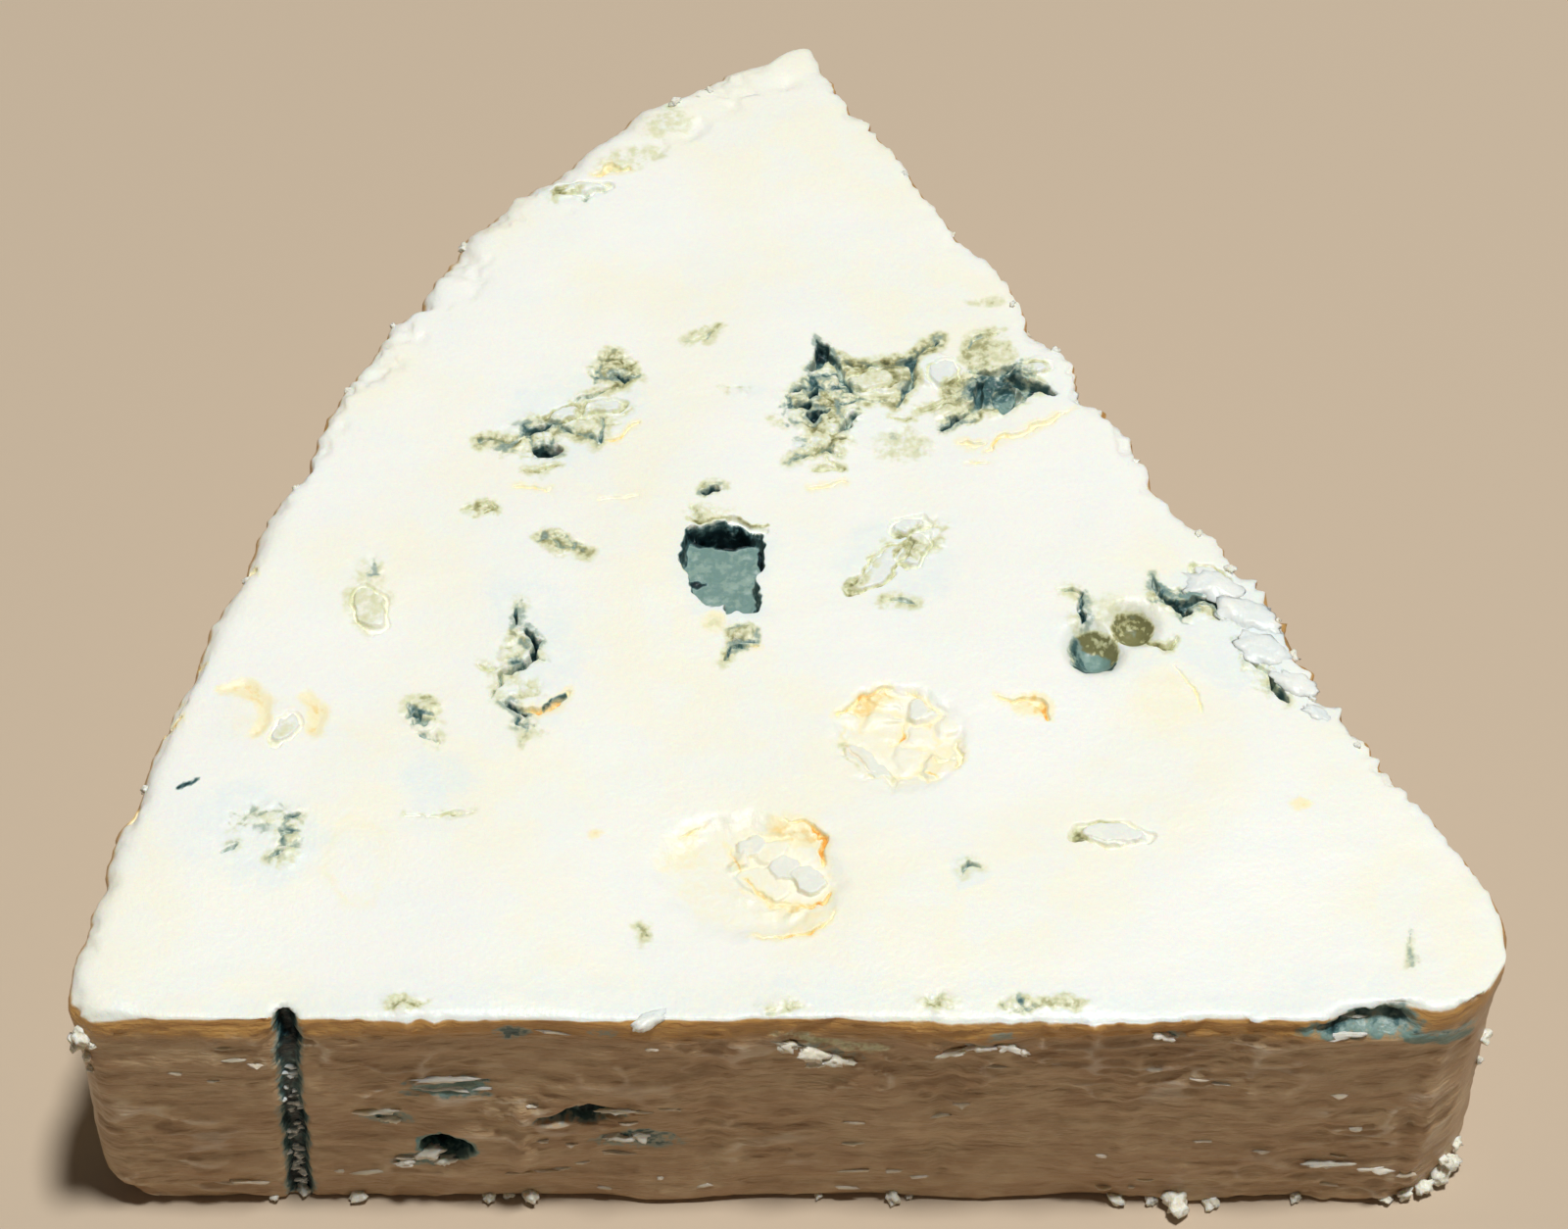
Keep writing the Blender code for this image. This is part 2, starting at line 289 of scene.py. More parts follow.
def mould_cave(top):
    """A hole the mould has eaten, with a level furry floor and a throat under its far lip, painted darkest as partly
    mould and partly painted shade.
    """
    mouth = region(top.flat, CAVE_MOUTH)
    top.dig(mouth, 1.7, edge=0.22)
    throat = np.minimum(mouth, patch(top.flat, (-4.4, -2.8), (5.2, 1.7)))
    top.dig(throat, 3.0, edge=0.4)
    top.stain("grey", mouth - 0.05, 1.0, soft=0.1)
    top.lift = top.lift + 0.12 * wander(top.solid, 0.6, 44) * ease(0.1, 0.5, mouth) * top.share
    # The throat is painted the darkest mould colour: partly mould, partly painted shade under the far lip.
    top.stain("mould", np.minimum(throat + 0.2, mouth + 0.1), 1.0, soft=0.15)
    top.stain("mould", np.minimum(mouth + 0.16, 0.14 - mouth), 0.8 * (0.4 + 0.6 * top.shade), soft=0.1)
    top.stain("mould", np.minimum(mouth + 0.1, trail(top.flat, [(-1.9, -4.2, 0.4), (-1.6, -6.0, 0.4)])), 1.0, 0.12)
    for route in (
        [(-7.2, -6.6, 0.3), (-6.2, -7.0, 0.12), (-5.6, -6.8, 0.05)],
        [(-6.6, -8.0, 0.25), (-5.6, -9.0, 0.3), (-4.6, -9.2, 0.1)],
        [(-4.4, -9.9, 0.2), (-3.0, -9.9, 0.25), (-2.0, -9.2, 0.2)],
    ):
        top.stain("mould", np.minimum(mouth + 0.1, trail(top.flat, route)), 0.9, 0.15)
    top.stain("olive", np.minimum(mouth + 0.2, trail(top.flat, [(-7.1, -6.5, 0.3), (-6.1, -6.9, 0.15)])), 1.0, 0.15)
    top.dig(np.minimum(-mouth, trail(top.flat, [(-4.0, -2.5, 0.35), (-2.0, -3.1, 0.3)])), 0.5, edge=0.4)
    top.stain("milk", trail(top.flat, [(-4.2, -2.5, 0.4), (-2.0, -3.1, 0.4)]), 1.3, soft=0.3)
    top.stain("milk", mouth + 1.6, 0.75, soft=1.4)
    top.show(np.minimum(mouth, 0.4 - mouth), True)
    line = trail(top.flat, [(-7.3, -2.3, 0.2), (-5.9, -2.5, 0.15), (-4.2, -2.1, 0.1), (-2.5, -2.5, 0.1), (-1.6, -2.5, 0.15)])
    top.stain("olive", line, 1.0, soft=0.18)
    top.veins(patch(top.flat, (-6.5, -1.8), (1.8, 1.2)), 0.9, soft=0.4)
    top.stain("olive", patch(top.flat, (-5.6, -1.6), (4.4, 1.6)), 0.35, soft=0.6)


def cave_neighbours(top):
    top.crack([(-5.7, 0.3, 0.3), (-5.0, 0.6, 0.34)], depth=1.0, olive=0.7)
    top.stain("amber", patch(top.flat, (-5.4, -11.0), (1.8, 2.4)), 0.34, soft=0.5)
    top.stain("olive", patch(top.flat, (-5.5, -11.2), (1.0, 1.6)), 0.4, soft=0.4)
    top.crack([(-4.3, -13.9, 0.3), (-3.9, -13.2, 0.2), (-3.1, -12.9, 0.16)], depth=0.6, olive=0.8)
    top.slit([(-3.7, -13.3, 0.12), (-2.9, -12.9, 0.22), (-2.0, -12.8, 0.12)], depth=0.5)
    top.veins(patch(top.flat, (-3.2, -12.2), (2.6, 1.7)), 0.9, soft=0.4)
    top.stain("milk", patch(top.flat, (-2.8, -14.4), (2.6, 1.2)), 1.3, soft=0.5)


def rear_cluster(top):
    """The branching mould left of the back cut."""
    top.crack([(2.0, 14.2, 0.12), (2.4, 13.3, 0.6), (2.5, 12.5, 0.65), (1.9, 11.4, 0.4)], depth=1.5)
    top.crack([(3.0, 12.3, 0.3), (3.6, 10.9, 0.35), (4.6, 9.6, 0.2)], depth=0.6, dark=0.7)
    top.crack([(4.0, 12.0, 0.14), (5.6, 11.9, 0.2), (7.4, 12.1, 0.24), (8.6, 12.2, 0.34)], 0.6, dark=0.55, olive=1.3)
    top.crack([(8.4, 12.1, 0.4), (9.3, 13.1, 0.26), (10.8, 14.1, 0.2)], 0.7, dark=0.75, olive=1.2)
    top.crack([(8.6, 12.2, 0.3), (8.6, 10.4, 0.2), (8.0, 9.0, 0.22), (7.6, 8.3, 0.1)], depth=0.6, dark=0.65, olive=1.2)
    for x, y, r in ((0.9, 8.2, 0.42), (1.5, 7.2, 0.5), (0.5, 9.4, 0.25), (1.6, 9.2, 0.22), (2.4, 7.6, 0.25)):
        top.crack([(x, y, r), (x + 0.35, y + 0.15, r * 0.8)], depth=0.8, olive=0.9)
    top.crack([(3.5, 6.0, 0.15), (4.1, 6.6, 0.38), (4.7, 7.4, 0.15)], depth=0.8, dark=0.9)
    top.veins(patch(top.flat, (2.4, 8.2), (5.4, 5.6), 10), 1.0, soft=0.7)
    top.veins(patch(top.flat, (2.2, 4.8), (4.2, 2.6), 0), 1.0, soft=0.5)
    top.veins(patch(top.flat, (2.9, 11.3), (3.4, 4.2), 0), 0.8, soft=0.6)
    top.crack([(-0.9, 6.9, 0.12), (-0.4, 6.4, 0.16)], depth=0.2, dark=0.35, halo=0.2)
    top.crack([(0.0, 3.1, 0.08), (1.0, 3.9, 0.18), (2.6, 4.2, 0.2), (3.6, 4.0, 0.1)], depth=0.4, dark=0.6, olive=0.9)
    top.raise_up(patch(top.flat, (6.3, 10.5), (4.2, 1.9), 5), 0.25)
    top.stain("olive", patch(top.flat, (6.3, 10.5), (4.6, 2.3), 5), 0.42, soft=0.5)
    top.raise_up(patch(top.flat, (10.4, 11.4), (2.9, 3.4), -20), 0.3)
    top.stain("milk", patch(top.flat, (10.4, 11.4), (3.2, 3.6), -20), 1.2)
    top.crack([(4.2, 9.0, 0.14), (5.6, 8.7, 0.16), (7.4, 8.9, 0.14)], depth=0.3, dark=0.45, olive=0.9)
    top.slit([(9.2, 8.0, 0.1), (10.3, 8.3, 0.22), (11.2, 8.6, 0.1)], kind="olive", strength=1.2)
    top.slit([(7.0, 7.2, 0.1), (8.2, 7.0, 0.18), (8.9, 7.3, 0.1)], kind="olive", strength=1.1)
    top.stain("olive", patch(top.flat, (14.2, 13.0), (4.0, 4.0), 20), 0.6, soft=0.6)
    top.crack([(13.0, 13.6, 0.1), (13.6, 14.4, 0.2), (14.9, 14.9, 0.1)], depth=0.3, dark=0.4, olive=0.9)
    top.crack([(13.2, 11.3, 0.14), (14.9, 11.3, 0.4), (16.7, 11.8, 0.2)], depth=0.9, dark=0.9)
    top.crack([(15.8, 10.6, 0.3), (17.2, 9.7, 0.5), (18.6, 9.3, 0.3)], depth=1.4)
    top.crack([(17.2, 9.6, 0.4), (16.6, 8.6, 0.3), (16.0, 7.8, 0.25)], depth=1.3)
    top.crack([(13.8, 9.8, 0.4), (13.4, 8.4, 0.35), (12.2, 7.2, 0.3), (11.0, 6.2, 0.22)], depth=1.0, dark=0.85)
    top.veins(patch(top.flat, (14.6, 9.6), (6.4, 4.6), 15), 0.9, soft=0.5)
    top.veins(patch(top.flat, (12.2, 8.0), (3.6, 3.4), 0), 0.8, soft=0.5)
    block = patch(top.flat, (15.6, 8.6), (2.0, 2.4), -25)
    top.dig(block, 0.7)
    top.stain("grey", block, 1.0, soft=0.2)
    top.stain("mould", patch(top.flat, (14.8, 9.8), (5.2, 3.0), 20), 0.55, soft=0.7)
    top.stain("olive", patch(top.flat, (12.4, 9.4), (3.4, 3.4), 0), 0.7, soft=0.6)
    top.raise_up(patch(top.flat, (17.4, 11.2), (2.6, 1.5), 15), 0.35)
    top.stain("milk", patch(top.flat, (17.4, 11.2), (3.0, 2.0), 15), 1.3)
    top.stain("olive", patch(top.flat, (8.0, 4.6), (4.6, 3.0), 0), 0.36, soft=0.8)
    top.veins(patch(top.flat, (8.4, 5.2), (3.4, 2.4), 0), 0.35, soft=0.6)
    top.stain("milk", patch(top.flat, (8.5, 9.5), (21, 12), 0), 0.5, soft=1.8)
    top.slit([(12.2, 4.6, 0.08), (13.2, 4.6, 0.2), (13.9, 5.0, 0.08)])
    top.slit([(14.2, 4.3, 0.08), (15.6, 5.2, 0.26), (16.8, 5.6, 0.18), (18.6, 6.6, 0.16), (20.0, 7.6, 0.06)])
    top.slit([(12.2, 3.0, 0.06), (13.4, 3.2, 0.12), (14.2, 3.2, 0.06)], strength=0.6)
    top.slit([(1.4, 2.2, 0.08), (2.6, 2.8, 0.24), (3.6, 2.7, 0.14), (2.7, 3.3, 0.06)], kind="olive", strength=1.1)
    top.slit([(1.3, 0.7, 0.08), (2.5, 0.8, 0.14), (3.9, 1.3, 0.08)])


def left_cluster(top):
    top.crack([(-12.6, 10.8, 0.14), (-11.7, 10.5, 0.4), (-11.0, 10.6, 0.1)], depth=0.9, olive=0.9)
    top.crack([(-15.4, 8.6, 0.1), (-13.9, 9.2, 0.16), (-12.4, 10.2, 0.18)], depth=0.5, dark=0.5, olive=0.9)
    top.veins(patch(top.flat, (-12.6, 11.6), (3.6, 3.6), 25), 0.9, soft=0.6)
    top.stain("olive", patch(top.flat, (-12.7, 11.9), (3.4, 3.4), 25), 0.45, soft=0.7)
    top.crack([(-16.8, 6.6, 0.1), (-17.4, 6.2, 0.3), (-18.6, 5.6, 0.14)], depth=0.6, dark=0.85)
    top.crack([(-18.0, 4.3, 0.3), (-17.2, 4.1, 0.62), (-16.5, 4.4, 0.4)], depth=2.0)
    top.crack([(-21.7, 5.0, 0.3), (-20.9, 5.0, 0.2), (-19.6, 5.1, 0.12), (-18.4, 5.4, 0.16)], depth=0.5, dark=0.7, olive=1.0)
    top.crack([(-16.4, 6.2, 0.1), (-14.9, 5.7, 0.14), (-13.6, 5.0, 0.22), (-13.4, 6.8, 0.1)], depth=0.5, dark=0.55, olive=0.9)
    top.veins(patch(top.flat, (-18.4, 5.4), (5.6, 3.4), 12), 0.7, soft=0.7)
    top.veins(patch(top.flat, (-13.8, 6.8), (3.4, 2.8), 0), 0.5, soft=0.6)
    top.stain("milk", patch(top.flat, (-15.6, 7.4), (14, 10), 25), 0.9, soft=1.8)
    top.slit([(-18.9, 2.5, 0.08), (-17.6, 2.2, 0.2), (-16.3, 2.6, 0.08)], kind="olive", strength=1.3)
    top.slit([(-19.4, 0.9, 0.06), (-18.0, 0.8, 0.12), (-16.8, 0.7, 0.06)])
    top.slit([(-13.2, 5.0, 0.08), (-12.2, 5.3, 0.16), (-10.8, 6.7, 0.1)])
    top.slit([(-13.2, 7.2, 0.06), (-12.2, 7.5, 0.1), (-11.4, 7.9, 0.05)], kind="olive")
    top.slit([(-13.4, -0.6, 0.05), (-12.2, -0.1, 0.1), (-10.4, 0.0, 0.05)], depth=0.2, strength=0.5)
    top.slit([(-22.8, -1.2, 0.08), (-21.8, -0.7, 0.12), (-20.5, -0.9, 0.08), (-21.6, -1.7, 0.1)], kind="olive", strength=1.1)
    top.veins(patch(top.flat, (-21.7, -1.2), (2.8, 1.4), 0), 0.7, soft=0.4)
    top.crack([(-17.2, -3.6, 0.1), (-16.4, -4.2, 0.2), (-15.0, -5.0, 0.14), (-14.0, -5.3, 0.05)], depth=0.4, dark=0.7, olive=0.9)
    top.veins(patch(top.flat, (-15.9, -4.1), (3.6, 2.0), -22), 0.8, soft=0.4)
    top.stain("olive", patch(top.flat, (-6.2, 14.6), (2.6, 1.8), 15), 0.5, soft=0.5)
    top.crack([(-7.3, 14.2, 0.05), (-6.2, 14.4, 0.14), (-5.0, 15.2, 0.08)], depth=0.2, dark=0.55, olive=0.8)
    top.stain("milk", patch(top.flat, (-3.8, 9.5), (4.4, 3.0), 0), 1.0, soft=0.6)
    top.veins(patch(top.flat, (-3.9, 9.4), (2.6, 1.4), 0), 0.35, soft=0.4)


def left_crack(top):
    top.crack([(-18.6, -9.2, 0.08), (-18.7, -10.4, 0.26), (-18.8, -11.2, 0.1)], depth=1.2)
    top.crack([(-18.1, -11.7, 0.1), (-17.7, -12.7, 0.3), (-17.6, -13.6, 0.3), (-18.0, -14.9, 0.26)], depth=1.6)
    top.crack([(-18.0, -14.9, 0.26), (-19.0, -15.5, 0.26), (-19.8, -15.5, 0.3), (-20.2, -17.2, 0.14)], depth=1.3)
    top.crack([(-17.5, -13.6, 0.14), (-16.8, -14.2, 0.08)], depth=0.4, dark=0.7)
    top.crack([(-19.6, -17.4, 0.12), (-18.9, -18.2, 0.26), (-18.3, -18.8, 0.2)], depth=0.8, dark=0.9)
    top.slit([(-18.6, -18.4, 0.2), (-17.2, -18.6, 0.26), (-15.9, -17.9, 0.2), (-15.0, -17.0, 0.06)], depth=0.7, strength=0.95)
    top.stain("mould", trail(top.flat, [(-16.9, -18.2, 0.1), (-15.2, -17.1, 0.08)]), 0.6, soft=0.12)
    top.crack([(-18.4, -19.2, 0.2), (-17.8, -20.0, 0.14), (-18.1, -21.2, 0.06)], depth=0.4, dark=0.6)
    top.crack([(-17.9, -19.6, 0.16), (-16.8, -20.2, 0.06)], depth=0.3, dark=0.6)
    top.slit([(-21.2, -14.6, 0.08), (-20.3, -15.2, 0.18)], kind="olive", strength=1.0)
    top.veins(patch(top.flat, (-18.9, -13.4), (2.2, 4.2), -12), 0.75, soft=0.5)
    top.stain("mould", patch(top.flat, (-18.5, -14.6), (1.8, 1.2)), 0.4, soft=0.4)
    top.veins(patch(top.flat, (-18.0, -16.6), (3.2, 2.2), 0), 0.5, soft=0.5)
    top.stain("milk", patch(top.flat, (-17.6, -14.6), (8.0, 14.0), 5), 0.9, soft=1.8)


def right_pits(top):
    calm = top.smooth + (top.flat - top.smooth) * 0.3
    left_pit = patch(calm, (20.9, -13.2), (3.1, 3.2))
    right_pit = patch(calm, (23.6, -11.3), (2.7, 2.7))
    top.dig(left_pit, 1.9, edge=2.2)
    top.dig(right_pit, 1.6, edge=2.0)
    top.veins(left_pit + 0.2, 0.3, soft=0.3)
    top.veins(right_pit + 0.2, 0.3, soft=0.3)
    top.stain("grey", patch(top.flat, (20.6, -13.6), (2.6, 2.2)), 1.0, soft=0.5)
    top.stain("mould", patch(top.flat, (20.4, -14.0), (2.2, 1.5)), 0.5, soft=0.6)
    top.stain("olive", left_pit + 0.1, 1.7, soft=0.25)
    top.stain("olive", right_pit + 0.1, 1.8, soft=0.25)
    top.stain("mould", np.minimum(left_pit + 0.1, trail(top.flat, [(19.6, -12.6, 0.5), (19.8, -14.0, 0.7)])), 0.75, 0.5)
    top.stain("mould", trail(top.flat, [(19.7, -14.6, 0.2), (21.2, -14.9, 0.2), (22.2, -14.2, 0.12)]), 0.8, 0.12)
    top.crack([(18.7, -8.2, 0.14), (19.4, -8.3, 0.3), (20.3, -8.9, 0.2), (20.3, -10.2, 0.2), (20.0, -11.2, 0.16)], 0.7)
    top.slit([(24.6, -12.6, 0.2), (25.8, -13.3, 0.3), (26.5, -12.4, 0.14)], kind="olive", depth=0.5, strength=1.2)
    top.crack([(25.0, -7.0, 0.1), (25.4, -8.2, 0.2), (26.4, -9.4, 0.26)], depth=0.9, dark=0.8)
    top.crack([(26.4, -9.4, 0.3), (27.0, -10.0, 0.5), (27.5, -10.2, 0.3)], depth=1.4)
    top.stain("grey", trail(top.flat, [(25.2, -7.6, 0.3), (26.4, -8.8, 0.5), (28.4, -8.6, 0.4)]), 0.55, soft=0.5)
    top.crack([(27.0, -9.6, 0.3), (28.0, -9.0, 0.24), (28.8, -8.9, 0.14)], depth=0.9, dark=0.7)
    top.crack([(28.5, -8.9, 0.16), (29.2, -9.2, 0.2), (29.8, -10.3, 0.24), (31.2, -11.2, 0.14)], depth=0.9)
    top.crack([(31.1, -12.8, 0.1), (31.5, -14.1, 0.2), (32.8, -15.2, 0.16)], depth=0.8, dark=0.8)
    top.crack([(32.9, -15.2, 0.16), (33.3, -16.4, 0.36), (33.8, -17.7, 0.3)], depth=1.3)
    top.veins(patch(top.flat, (27.4, -9.6), (5.6, 2.6), -15), 0.8, soft=0.5)
    top.veins(patch(top.flat, (32.4, -15.0), (2.6, 5.2), 25), 0.5, soft=0.5)
    top.stain("olive", patch(top.flat, (22.6, -10.2), (4.6, 3.0), 0), 0.3, soft=0.8)
    top.stain("milk", patch(top.flat, (29.4, -11.6), (14, 8.0), -50), 1.1, soft=1.6)
    top.stain("milk", patch(top.flat, (22.4, -11.8), (10.0, 9.0), 0), 0.8, soft=1.6)


def open_curds(top):
    """Shallow openings between the curds, with ripe yellow lips."""
    rear = patch(top.flat, (7.4, -20.6), (8.6, 8.4), 12)
    top.dig(rear, 0.45, edge=1.4)
    top.stain("amber", rear, 0.2, soft=0.8)
    top.stain("amber", np.minimum(rear, patch(top.flat, (5.4, -17.4), (3.6, 2.0), 25)), 0.62, soft=0.5)
    top.stain("amber", np.minimum(rear, patch(top.flat, (10.4, -22.6), (2.6, 4.2), -20)), 0.35, soft=0.6)
    top.curdle(rear, (2.4, 1.8), 0.36, 0.36)
    top.plate((5.2, -22.7), (4.0, 1.5), -38, 0.35, 0.3)
    top.plate((8.8, -18.2), (1.8, 1.2), 30, 0.35, 0.3)
    for route in (
        [(3.2, -18.9, 0.1), (4.2, -17.8, 0.22), (5.0, -17.3, 0.2)],
        [(5.0, -17.3, 0.2), (6.2, -16.5, 0.16), (7.2, -16.3, 0.06)],
        [(8.0, -16.6, 0.06), (9.4, -17.6, 0.16), (9.9, -18.4, 0.06)],
        [(11.4, -20.6, 0.08), (11.7, -21.8, 0.26), (11.1, -23.0, 0.1)],
        [(9.6, -21.9, 0.06), (10.6, -22.4, 0.14), (11.2, -22.0, 0.1)],
        [(7.4, -19.2, 0.14), (7.5, -20.4, 0.2), (7.0, -21.3, 0.12)],
        [(9.0, -23.4, 0.1), (9.6, -23.2, 0.16), (10.2, -23.6, 0.08)],
        [(3.4, -20.9, 0.06), (4.3, -22.2, 0.2), (5.2, -23.2, 0.16), (6.3, -23.9, 0.06)],
    ):
        top.slit(route, depth=0.6, strength=0.85)
    front = patch(top.flat, (-2.8, -31.6), (11.6, 9.0), -10)
    top.dig(front, 0.45, edge=1.8)
    top.stain("amber", front, 0.18, soft=1.0)
    top.stain("amber", np.minimum(front + 0.6, patch(top.flat, (0.6, -27.9), (4.6, 2.6), -15)), 0.58, soft=0.7)
    top.stain("amber", np.minimum(front + 0.6, patch(top.flat, (-7.6, -29.6), (3.6, 3.8), 30)), 0.26, soft=0.8)
    top.stain("amber", np.minimum(front + 0.6, patch(top.flat, (1.4, -35.4), (4.0, 2.0), 10)), 0.32, soft=0.7)
    top.curdle(np.minimum(front, patch(top.flat, (-0.4, -31.0), (7.0, 7.6), -15)), (3.2, 2.4), 0.34, 0.24)
    top.plate((-0.3, -30.9), (2.4, 1.7), -20, 0.34, 0.15)
    top.plate((1.2, -32.0), (2.5, 1.6), -35, 0.42, 0.2)
    top.plate((-2.6, -29.0), (2.2, 1.4), 15, 0.3, 0.1)
    
    for route in (
        [(-7.6, -28.7, 0.05), (-6.6, -28.0, 0.12), (-5.6, -27.6, 0.05)],
        [(-0.6, -27.0, 0.05), (1.0, -27.5, 0.12), (2.0, -29.0, 0.3), (2.4, -30.9, 0.12)],
        [(-4.2, -28.7, 0.05), (-3.9, -30.2, 0.14), (-3.0, -31.0, 0.1)],
        [(-2.8, -31.7, 0.1), (-1.6, -33.0, 0.3), (0.2, -34.0, 0.34), (1.6, -34.2, 0.2), (2.6, -33.2, 0.1)],
        [(-2.4, -36.3, 0.05), (-0.4, -36.2, 0.1), (2.2, -35.8, 0.12), (2.9, -34.6, 0.05)],
    ):
        top.slit(route, depth=0.6, strength=0.9)
    top.slit([(14.0, -17.2, 0.06), (15.6, -17.5, 0.2), (17.0, -17.9, 0.3), (17.3, -18.9, 0.16)], depth=0.4, strength=0.8)
    top.stain("amber", patch(top.flat, (16.4, -17.9), (2.6, 1.6), -15), 0.6, soft=0.5)
    top.stain("amber", patch(top.flat, (25.6, -17.6), (5.4, 6.0), 0), 0.16, soft=1.0)
    top.slit([(26.4, -15.0, 0.05), (27.4, -16.6, 0.14), (27.9, -18.9, 0.08)], depth=0.25, strength=0.5)
    top.stain("amber", patch(top.flat, (-35.2, -19.3), (8.6, 5.2), 0), 0.14, soft=1.0)
    calm = top.smooth + (top.flat - top.smooth) * 0.35
    for route in (
        [(-38.8, -16.8, 0.1), (-37.2, -16.5, 0.4), (-35.9, -17.6, 0.35), (-35.6, -19.4, 0.25), (-36.2, -20.4, 0.1)],
        [(-33.0, -17.2, 0.1), (-32.0, -18.4, 0.35), (-32.2, -20.2, 0.3)],
    ):
        crescent = trail(calm, route)
        top.dig(crescent, 0.2, edge=0.7)
        top.stain("amber", crescent + 0.3, 0.5, soft=0.6)
    for route in (
        [(-44.2, -20.2, 0.1), (-42.6, -19.9, 0.26), (-41.2, -18.9, 0.1)],
        [(-43.4, -18.6, 0.08), (-42.0, -17.6, 0.2)],
        [(-42.0, -13.2, 0.1), (-40.4, -14.4, 0.18)],
        [(-38.8, -7.4, 0.08), (-37.2, -6.6, 0.16)],
    ):
        top.slit(route, depth=0.5, strength=0.95)
    notch = patch(top.flat, (-45.2, -25.4), (2.0, 3.4), 10)
    top.dig(notch, 0.9, edge=0.6)
    top.stain("amber", notch, 0.7, soft=0.3)
    top.slit([(-14.6, 30.4, 0.15), (-13.3, 31.0, 0.3), (-12.0, 31.0, 0.12)], depth=0.4)


def lone_flakes(top):
    """Flakes of wet curd that the knife pressed flat into the cut face."""
    for centre, size, turn in (
        ((6.3, -6.2), (5.4, 1.8), 47),
        ((8.7, -4.6), (3.0, 1.7), 60),
        ((8.4, -2.4), (2.4, 1.2), 20),
        ((21.6, -28.4), (4.5, 1.6), -6),
        ((11.0, 11.0), (2.6, 2.0), 55),
        ((5.8, 10.6), (3.4, 1.5), 5),
        ((17.2, 11.2), (2.4, 1.1), 10),
        ((-13.6, 8.0), (2.8, 1.1), 15),
        ((-16.2, 7.4), (2.4, 1.1), 30),
        ((-15.4, 28.6), (3.2, 1.1), 12),
        ((28.9, -6.9), (2.2, 1.0), -35),
    ):
        top.plate(centre, size, turn, 0.16, 0.75)
    top.plate((-34.1, -20.2), (2.7, 1.5), 48, 0.1, 0.25)
    top.stain("olive", patch(top.flat, (-34.1, -20.2), (2.4, 1.2), 48), 0.32, soft=0.3)
    top.plate((-29.0, -9.8), (2.0, 3.6), 12, 0.16, 0.2)


